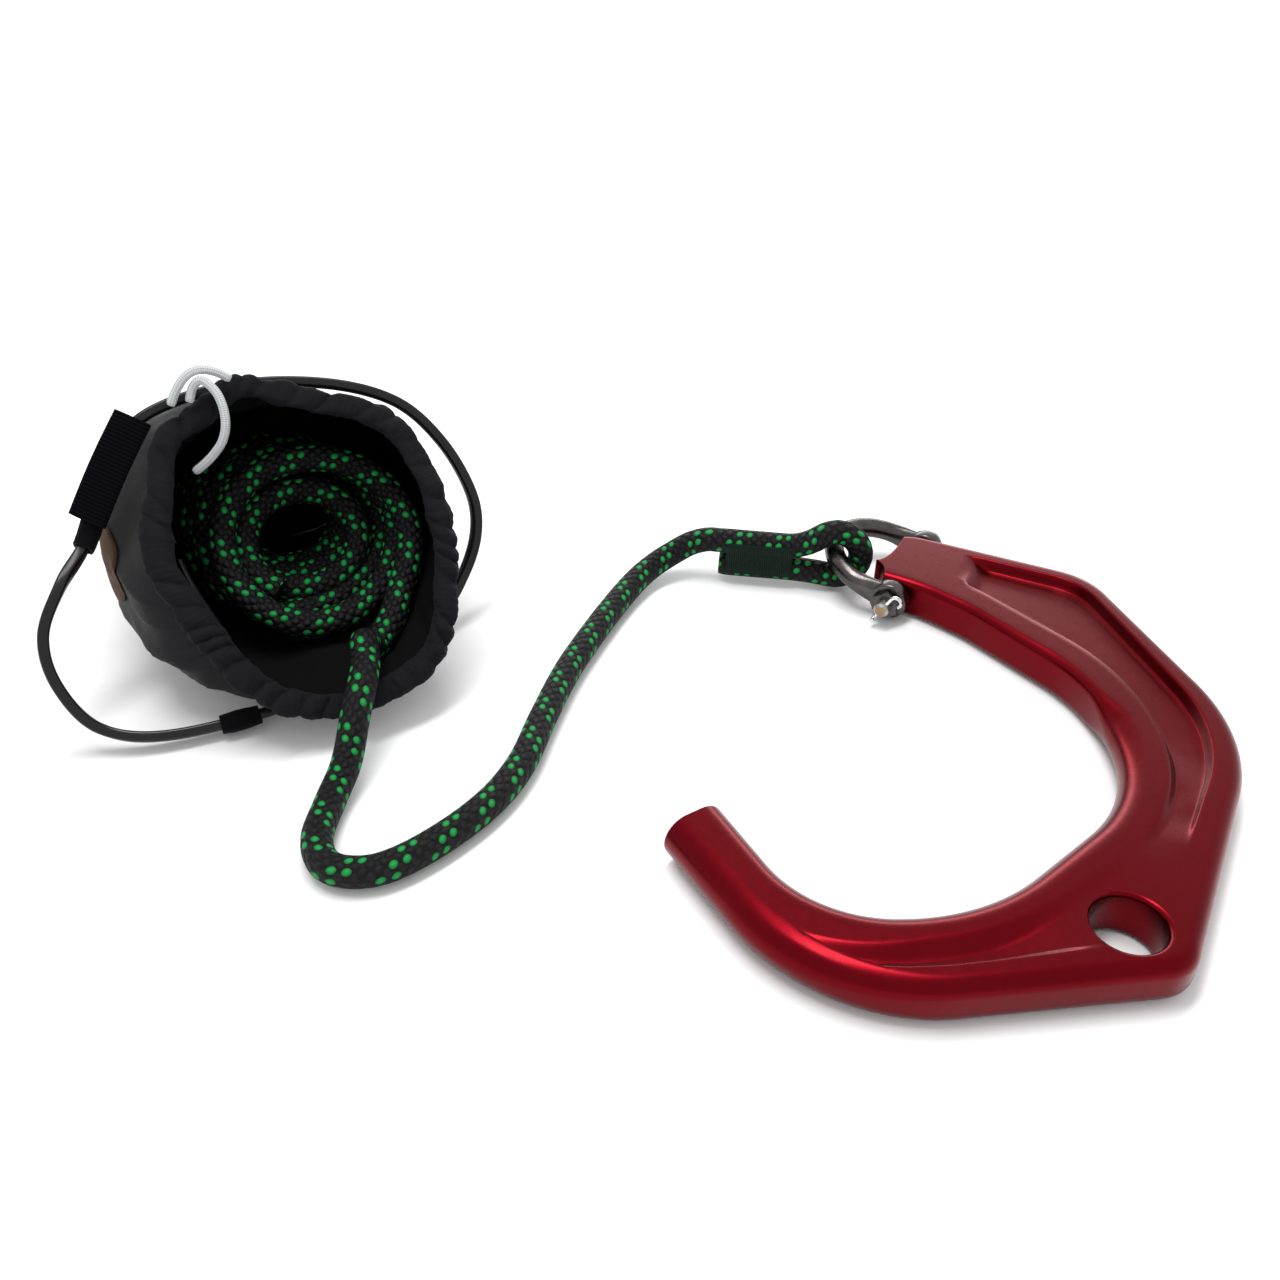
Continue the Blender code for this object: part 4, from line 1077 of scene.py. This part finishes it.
def fold_lines():
    """Creases in the cloth: start and end (angle in radians, depth), height and width."""
    rng = random.Random(FOLD_SEED)
    lines = []
    for k in range(46):
        a = rng.uniform(0, 2 * pi)
        depth = rng.uniform(0.02, 0.85)
        run = rng.uniform(0.15, 0.45)
        turn = rng.uniform(-0.75, 0.75)
        height = rng.uniform(0.9, 2.6) * rng.choice((1, 1, -0.6))
        lines.append((a, depth, a + turn, min(1.02, depth + run), height, rng.uniform(3.0, 6.5)))
    for k in range(9):
        a = radians(196 + 9.0 * k)
        turn, end = radians(rng.uniform(10, 26)), rng.uniform(0.26, 0.5)
        lines.append((a, 0.03, a - turn, end, rng.uniform(1.6, 2.8), rng.uniform(3.0, 4.5)))
    return lines


FOLDS = fold_lines()
SACK_RADIUS = 54.0


def fold_height(a, depth):
    """Sharp ridges with straight flanks, so that the cloth between them lies in facets."""
    total = 0.0
    for a0, d0, a1, d1, height, width in FOLDS:
        for shift in (-2 * pi, 0.0, 2 * pi):
            x, y = (a + shift - a0) * SACK_RADIUS, (depth - d0) * BAG_LENGTH
            dx, dy = (a1 - a0) * SACK_RADIUS, (d1 - d0) * BAG_LENGTH
            along = (x * dx + y * dy) / (dx * dx + dy * dy)
            if along < -0.15 or along > 1.15:
                continue
            off = abs(x * dy - y * dx) / hypot(dx, dy)
            if off > width * 3:
                continue
            ends = ease(-0.15, 0.25, along) * (1 - ease(0.75, 1.15, along))
            total += height * ends * (max(0.0, 1 - off / (width * 3)) ** 2.2)
    return total


def sack_point(a, depth, proud=0.0):
    """The sack as it lies, with gathers at its mouth and folds; layout millimetres."""
    rim = 1 - ease(0.0, 0.2, depth)
    ripple = (gather(a + 0.25 * depth) - 0.55) * 2.6 * rim
    spot = plain_sack(a, depth)
    broad = noise.noise(Vector((cos(a) * 2.1, sin(a) * 2.1, depth * 3.0))) * 3.2 * ease(0.05, 0.3, depth)
    small = noise.noise(Vector((cos(a) * 7.0, sin(a) * 7.0, depth * 9.0 + 4.0))) * 0.8
    out = ripple + (fold_height(a, depth) + broad + small - 0.6) * ease(0.0, 0.06, depth)
    out = max(-1.6, min(4.6, out)) + proud
    spot = plain_sack(a, depth, out)
    spot.z = max(spot.z, 0.35 + 0.06 * max(0.0, out))
    return spot


def make_sack():
    """The cloth tube and its lining, each a thin layer."""
    girth = 2 * pi * SACK_RADIUS * MM
    layers = (
        ("bag_cloth_outer", 0.0, 0.5, -1, SHELL_CLOTH),
        ("bag_lining", -0.9, 0.3, 1, INNER_CLOTH),
    )
    for name, proud, thickness, offset, material in layers:
        rings = [[at_point(sack_point(2 * pi * j / SACK_AROUND, i / SACK_ALONG, proud))
                  for j in range(SACK_AROUND)] for i in range(SACK_ALONG + 1)]
        layer = build(name, rings, material, "bag_fabric", caps=False, sharp=180,
                      uv=lambda i, j: (girth * j / SACK_AROUND, BAG_LENGTH * MM * i / SACK_ALONG))
        thicken(layer, thickness, offset)
        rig.ride(layer, "bag_and_rope")
        if name == "bag_cloth_outer":
            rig.replaces(layer, "bag_shell")


PANEL_RINGS = 26
PANEL_REACH = 0.06               # metres of cloth from the panel's middle to its seam


def make_base():
    """The sewn end panel: follows the sack's last ring, with a soft bulge and a taped seam."""
    edge = [sack_point(2 * pi * j / SACK_AROUND, 1.0, -0.9) for j in range(SACK_AROUND)]
    centre = sum(edge, Vector()) / len(edge)
    around = circle(SACK_AROUND)
    rings = []
    for k in range(PANEL_RINGS):
        share = 1 - k / PANEL_RINGS
        ring = []
        for (c, s), p in zip(around, edge):
            spot = centre + (p - centre) * share
            crumple = noise.noise(Vector((share * c * 3.4, share * s * 3.4, 7.0))) * 2.6
            crumple += abs(noise.noise(Vector((share * c * 6.0, share * s * 6.0, 1.0)))) * 2.4
            push = (3.2 * (1 - share ** 3) + crumple * (1 - share ** 6))
            ring.append(at_point(spot + BAG_BACK * max(0.4, 0.7 + push)))
        rings.append(ring)

    def panel_uv(i, j):
        reach = PANEL_REACH * (1 - i / PANEL_RINGS)
        a = 2 * pi * j / SACK_AROUND
        return reach * cos(a), reach * sin(a)

    panel = build("bag_end_panel", rings, SHELL_CLOTH, "bag_fabric", caps=False, sharp=180, uv=panel_uv)
    close_hole(panel, len(rings) - 1)
    thicken(panel, 0.5)
    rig.ride(panel, "bag_and_rope")
    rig.replaces(panel, "bag_base")

    seam = []
    for j in range(SACK_AROUND):
        spot = sack_point(2 * pi * j / SACK_AROUND, 1.0, 0.2)
        out = (spot - centre).normalized()
        tape = [spot + out * 1.15 * c + BAG_BACK * (0.5 + 1.7 * s) for c, s in circle(12)]
        for p in tape:
            p.z = max(p.z, 0.3)
        seam.append([at_point(p) for p in tape])
    binding = build("bag_end_binding", seam, HEM_CLOTH, "bag_fabric", closed=True, sharp=180,
                    uv=lambda i, j: (i * 0.00135, j * 0.0006))
    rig.ride(binding, "bag_and_rope")


def close_hole(obj, ring_index):
    """Joins the innermost ring of a fan-shaped panel with one soft cap."""
    bm = bmesh.new()
    bm.from_mesh(obj.data)
    bm.verts.ensure_lookup_table()
    first = ring_index * SACK_AROUND
    inner = [e for e in bm.edges if e.is_boundary and all(v.index >= first for v in e.verts)]
    made = bmesh.ops.holes_fill(bm, edges=inner)
    for face in made["faces"]:
        face.smooth = True
    bmesh.ops.recalc_face_normals(bm, faces=bm.faces)
    bm.to_mesh(obj.data)
    bm.free()


def mouth_point(angle, out=0.0, proud=0.0):
    """Near the mouth's rim: millimetres outside it and in front of its plane; angle in degrees."""
    a = radians(angle)
    rise = MOUTH_BOTTOM + MOUTH_HALF_HEIGHT * sin(radians(MOUTH_LEAN))
    rim = BAG_SIDE * (MOUTH_HALF_WIDTH + out) * cos(a) + MOUTH_UP * (MOUTH_HALF_HEIGHT + out) * sin(a)
    return MOUTH_CENTRE + UP * rise + rim + MOUTH_OUT * proud


def make_hem():
    """The turned-over edge, drawn together on its cord into puffs and pinches."""
    rings = []
    count = 900
    around = 30
    for i in range(count):
        a = 2 * pi * i / count
        ring = []
        swell = soft_table(MOUTH_SWELL, degrees(a))
        lower_left = exp(-((degrees(a) - 190) / 45) ** 2)
        uneven = 0.7 * noise.noise(Vector((cos(a) * 5, sin(a) * 5, 0)))
        for j in range(around):
            b = 2 * pi * j / around
            puff = gather(a + 0.03 * sin(b) + 0.06 * cos(b))
            wide = HEM_WIDTH / 2 * (0.94 + 0.16 * puff + 0.25 * lower_left)
            high = HEM_THICKNESS / 2 * (0.58 + 0.38 * puff)
            sunk = 1.3 * (1 - puff)
            crease = 0.30 * noise.noise(Vector((cos(a) * 34, sin(a) * 34, b * 1.2)))
            crease += 0.5 * noise.noise(Vector((cos(a) * 11, sin(a) * 11, b * 0.8 + 5.0)))
            flat = abs(cos(b)) ** 0.75 * (1 if cos(b) > 0 else -1)
            out = swell + (wide + uneven + crease) * flat + 0.9 * puff - 0.6
            proud = GAP + HEM_THICKNESS / 2 - sunk * (0.5 + 0.5 * sin(b)) + (high + crease) * sin(b)
            ring.append(at_point(mouth_point(degrees(a), out, max(0.1, proud))))
        rings.append(ring)
    hem = build("bag_gathered_hem", rings, HEM_CLOTH, "bag_fabric", closed=True, sharp=180,
                uv=lambda i, j: (i * 0.00037, j * 0.0008))
    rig.ride(hem, "bag_and_rope")
    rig.replaces(hem, "bag_hem")


# ---- hoop, tabs, strap and small trim --------------------------------------------------------
HOOP_ROUTE = (
    (-57.3, -17.0, 4.6), (-77.8, -11.0, 9.5), (-87.0, -4.0, 24.8), (-87.5, 4.0, 40.0),
    (-79.0, 14.0, 52.0), (-68.5, 27.0, 60.0), (-57.0, 36.0, 79.0), (-42.0, 43.0, 94.0),
    (-12.0, 48.0, 98.5), (20.0, 47.0, 95.0), (44.2, 43.0, 85.7), (58.5, 38.0, 69.6),
    (66.9, 33.0, 49.3), (66.7, 28.0, 34.3), (59.0, 22.0, 20.0), (44.0, 12.0, 8.5),
    (16.0, -4.0, 4.6), (-20.0, -16.0, 4.6),
)
HOOP_BAND = (5.4, 3.8)
LEFT_TAB = 0.226
FRONT_TAB = 0.945
TAB_SPAN = 0.03
TAB_THICKNESS = 0.9
STRAP_WIDTH = 13.0
STRAP_FROM = 0.232
STRAP_TO = 0.32
FLOOR_CLEAR = 0.0001             # metres

HOOP_SPOTS = [MOUTH_CENTRE + BAG_SIDE * a + BAG_BACK * b + UP * c for a, b, c in HOOP_ROUTE]
HOOP = Line(catmull(HOOP_SPOTS, closed=True, pieces=20))
HOOP_CENTRE = sum(HOOP.points[:-1], Vector()) / (len(HOOP.points) - 1)


def hoop_frame(share):
    """A point on the hoop, with its outward and sideways directions."""
    spot = HOOP.read(share % 1.0)
    ahead = (HOOP.read((share + 0.006) % 1.0) - HOOP.read((share - 0.006) % 1.0)).normalized()
    side = ahead.cross(spot - HOOP_CENTRE).normalized()
    return spot, side.cross(ahead).normalized(), side


def soft_box(width, height, corner, count):
    """Points round a rectangle with rounded corners, from the middle of its first side."""
    power = 2 / (2 + 6 * (1 - corner))

    def bent(value, size):
        return abs(value) ** power * (1 if value > 0 else -1) * size / 2

    return [(bent(c, width), bent(s, height)) for c, s in circle(count, 0.5)]


def make_hoop():
    rings = []
    steps = 300
    section = soft_box(*HOOP_BAND, 0.6, 20)
    for k in range(steps):
        spot, out, side = hoop_frame(k / steps)
        ring = [at_point(spot + side * x + out * y) for x, y in section]
        lift = UP * max(0.0, FLOOR_CLEAR - min(p.z for p in ring))
        rings.append([p + lift for p in ring])
    hoop = build("spring_band", rings, HOOP_BLACK, "hoop_plastic", closed=True, sharp=180,
                 uv=lambda i, j: (i * HOOP.length / steps * MM, j * 0.0008))
    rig.ride(hoop, "bag_and_rope")
    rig.replaces(hoop, "spring_hoop")


def make_tabs():
    """Cloth sleeves that the hoop runs through, slightly puffed."""
    for name, share in (("hoop_tab_left", LEFT_TAB), ("hoop_tab_front", FRONT_TAB)):
        layers = []
        for clear in (0.45, 0.45 + TAB_THICKNESS):
            section = soft_box(HOOP_BAND[0] + clear * 2, HOOP_BAND[1] + clear * 2, 0.7, 32)
            layer = []
            for i in range(17):
                t = i / 16
                spot, out, side = hoop_frame(share + TAB_SPAN * (t - 0.5))
                puff = 0.5 * sin(pi * t) if clear > 0.5 else 0.0
                ring = []
                for j, (x, y) in enumerate(section):
                    ruck = 0.22 * noise.noise(Vector((t * 5, j * 0.5, share * 10))) if clear > 0.5 else 0.0
                    grow = 1 + (puff + ruck) / 4.5
                    place = at_point(spot + side * x * grow + out * y * grow)
                    place.z = max(place.z, FLOOR_CLEAR)
                    ring.append(place)
                layer.append(ring)
            layers.append(layer)
        rings = layers[0] + list(reversed(layers[1]))
        tab = build(f"cloth_{name}", rings, TAB_CLOTH, "webbing", closed=True, sharp=60,
                    uv=lambda i, j: (i * 0.0009, j * 0.0006))
        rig.ride(tab, "bag_and_rope")
        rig.replaces(tab, name)


def strip(name, points, facing, width, thickness, material, slot, across=14, bow=0.0, edge=0.5):
    """A flat strap of webbing or plastic along points (millimetres), facing the given ways."""
    section = []
    half = width / 2
    for k in range(across + 1):
        x = -half + width * k / across
        lift = bow * (1 - (x / half) ** 2)
        section.append((x, thickness / 2 + lift - edge * (abs(x) > half - 0.5) * thickness / 2))
    under = [(x, y - thickness * (1 - edge * (abs(x) > half - 0.5))) for x, y in reversed(section)]
    outline = section + under
    marks = Line(points).marks
    rings = []
    for i, (p, n) in enumerate(zip(points, facing)):
        ahead = points[min(i + 1, len(points) - 1)] - points[max(i - 1, 0)]
        side = ahead.cross(n).normalized()
        n = side.cross(ahead).normalized()
        rings.append([at_point(p + side * x + n * y) for x, y in outline])
    places = [x for x, y in outline] + [outline[0][0]]
    made = build(name, rings, material, slot, sharp=40, uv=lambda i, j: (places[j] * MM, marks[i] * MM))
    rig.ride(made, "bag_and_rope")
    return made


def make_strap():
    facing = (MOUTH_OUT - BAG_SIDE * 0.2).normalized()
    steps = 60
    foot, top = hoop_frame(STRAP_FROM)[0], hoop_frame(STRAP_TO)[0]
    lift = HOOP_BAND[0] / 2 + 2.2
    points = [foot.lerp(top, t / steps) + facing * (lift + 1.5 * sin(pi * t / steps)) for t in range(steps + 1)]
    strap = strip("side_webbing", points, [facing] * len(points), STRAP_WIDTH, 1.6, WEBBING, "webbing", bow=0.5)
    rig.replaces(strap, "side_strap")


def make_stay():
    angles = [170 + 60 * k / 40 for k in range(41)]
    points = [mouth_point(a, -8.5 - 5 * sin(radians((a - 170) * 2.8)), -8.0) for a in angles]
    facing = [(mouth_point(a) - mouth_point(a, 10.0)).normalized() for a in angles]
    stay = strip("mouth_stiffener", points, facing, 5.0, 1.4, HOOP_BLACK, "hoop_plastic", across=8, bow=0.3)
    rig.replaces(stay, "mouth_stay")


PATCH_MIDDLE = (radians(184.5), 0.32)
PATCH_SIZE = (radians(15.0), 0.085)      # half its length round the sack, and half its width


def make_patch():
    """A lens of coloured cloth sewn on the side."""
    rows, columns = 24, 12
    top, under = [], []
    for layer, proud in ((top, 1.15), (under, 0.35)):
        for i in range(rows + 1):
            t = -1 + 2 * i / rows
            half = PATCH_SIZE[1] * sqrt(max(0.02, 1 - t * t))
            row = []
            for j in range(columns + 1):
                s = -1 + 2 * j / columns
                edge = 0.55 * max(0.0, abs(s) - 0.8) / 0.2 if proud > 1 else 0.0
                angle, depth = PATCH_MIDDLE[0] + PATCH_SIZE[0] * t, PATCH_MIDDLE[1] + half * s
                row.append(at_point(sack_point(angle, depth, proud - edge)))
            layer.append(row)
    rings = [a + list(reversed(b)) for a, b in zip(top, under)]
    patch = build("cloth_side_patch", rings, PATCH_CLOTH, "patch", sharp=50,
                  uv=lambda i, j: (i * 0.0011, j * 0.0012))
    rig.ride(patch, "bag_and_rope")
    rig.replaces(patch, "side_patch")


DRAW_CORD = 3.0
DRAW_FRONT = HEM_THICKNESS + GAP
DRAW_LOOP = (
    (116.0, 9.0, 2.0), (112.6, 11.6, 4.5), (109.5, 11.5, 6.6), (107.7, 6.2, 7.0),
    (108.2, 0.6, 6.0), (110.9, -4.4, 4.0), (115.5, -7.4, 1.0), (121.0, -8.0, -2.7),
    (126.5, -7.4, -6.3), (131.5, -5.8, -9.8),
)
DRAW_BIGHT = (
    (121.0, 12.0, 1.5), (117.0, 14.0, 4.0), (112.5, 15.4, 6.0), (108.5, 15.0, 6.4),
    (104.5, 12.5, 5.2), (101.0, 9.0, 3.4),
)


def draw_cord_piece(name, node, route):
    spots = [at_point(mouth_point(angle, out, DRAW_FRONT + proud)) for angle, out, proud in route]
    points = Line(catmull(spots, pieces=14)).even(0.8 * MM)
    tip = len(points) - 1
    cord = sweep(name, points, DRAW_CORD / 2, 14, WHITE_CORD, "white_cord", MOUTH_OUT,
                 lambda i: DRAW_CORD / 2 * (0.8 if i in (0, tip) else 1.0))
    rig.ride(cord, "bag_and_rope")
    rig.replaces(cord, node)
    return cord, points


def make_draw_cords():
    """The short bight between two holes of the hem belongs to the same cord as the loose end."""
    bight, _ = draw_cord_piece("cord_bight", "draw_cord_bight", DRAW_BIGHT)
    loop, points = draw_cord_piece("cord_loop", "draw_cord", DRAW_LOOP)
    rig.cord(loop, exit=points[0], length=round(Line(points).length, 4), diameter=DRAW_CORD * MM, far_end="bare",
            stiffness="limp", lay="loose", path=points, with_pieces=[bight])


# ---- floor, light and camera -----------------------------------------------------------------
def make_stage():
    bpy.ops.mesh.primitive_plane_add(size=6.0, location=(0, 0, -0.0005))
    floor_plane = bpy.context.object
    floor_plane.name = "floor"
    pale = Nodes("floor_white", (0.88, 0.88, 0.885), 0.85)
    floor_plane.data.materials.append(pale.material)
    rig.stage(floor_plane)

    world = bpy.data.worlds.new("studio")
    bpy.context.scene.world = world
    world.use_nodes = True
    world.node_tree.nodes["Background"].inputs["Color"].default_value = (1, 1, 1, 1)
    world.node_tree.nodes["Background"].inputs["Strength"].default_value = 0.9
    bpy.context.scene.view_settings.view_transform = "Standard"

    def softbox(name, place, target, size, power):
        light = bpy.data.lights.new(name, "AREA")
        light.shape = "RECTANGLE"
        light.size, light.size_y = size
        light.energy = power
        lamp = bpy.data.objects.new(name, light)
        lamp.location = place
        lamp.rotation_euler = (Vector(target) - Vector(place)).to_track_quat("-Z", "Y").to_euler()
        bpy.context.scene.collection.objects.link(lamp)

    softbox("overhead", (-0.1, 0.1, 1.2), (0, 0, 0), (0.9, 0.25), 11.0)
    softbox("rear_panel", (0.0, 1.7, 0.5), (0, 0, 0.1), (2.4, 0.35), 12.0)


CAMERA_PLACE = (-78.0, -305.0, 270.0)
CAMERA_TILT = 54.5               # degrees up from straight down
CAMERA_LENS = 33.75


def make_camera():
    camera = bpy.data.cameras.new("camera")
    camera.lens = CAMERA_LENS
    camera.sensor_width = 36
    camera.clip_start = 0.01
    holder = bpy.data.objects.new("camera", camera)
    holder.location = at(*CAMERA_PLACE)
    holder.rotation_euler = (radians(CAMERA_TILT), 0, 0)
    bpy.context.scene.collection.objects.link(holder)
    bpy.context.scene.camera = holder


def main():
    make_camera()
    make_rope()
    make_hook()
    make_bow()
    make_bolt()
    make_nut()
    make_split_pin()
    make_sack()
    make_base()
    make_hem()
    make_hoop()
    make_tabs()
    make_strap()
    make_stay()
    make_patch()
    make_draw_cords()
    make_stage()
    with open("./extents.json", "w") as file:
        json.dump({"cad": [list(p) for p in CAD_BOX], "visual": [list(p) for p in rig.bounds()]}, file)


main()
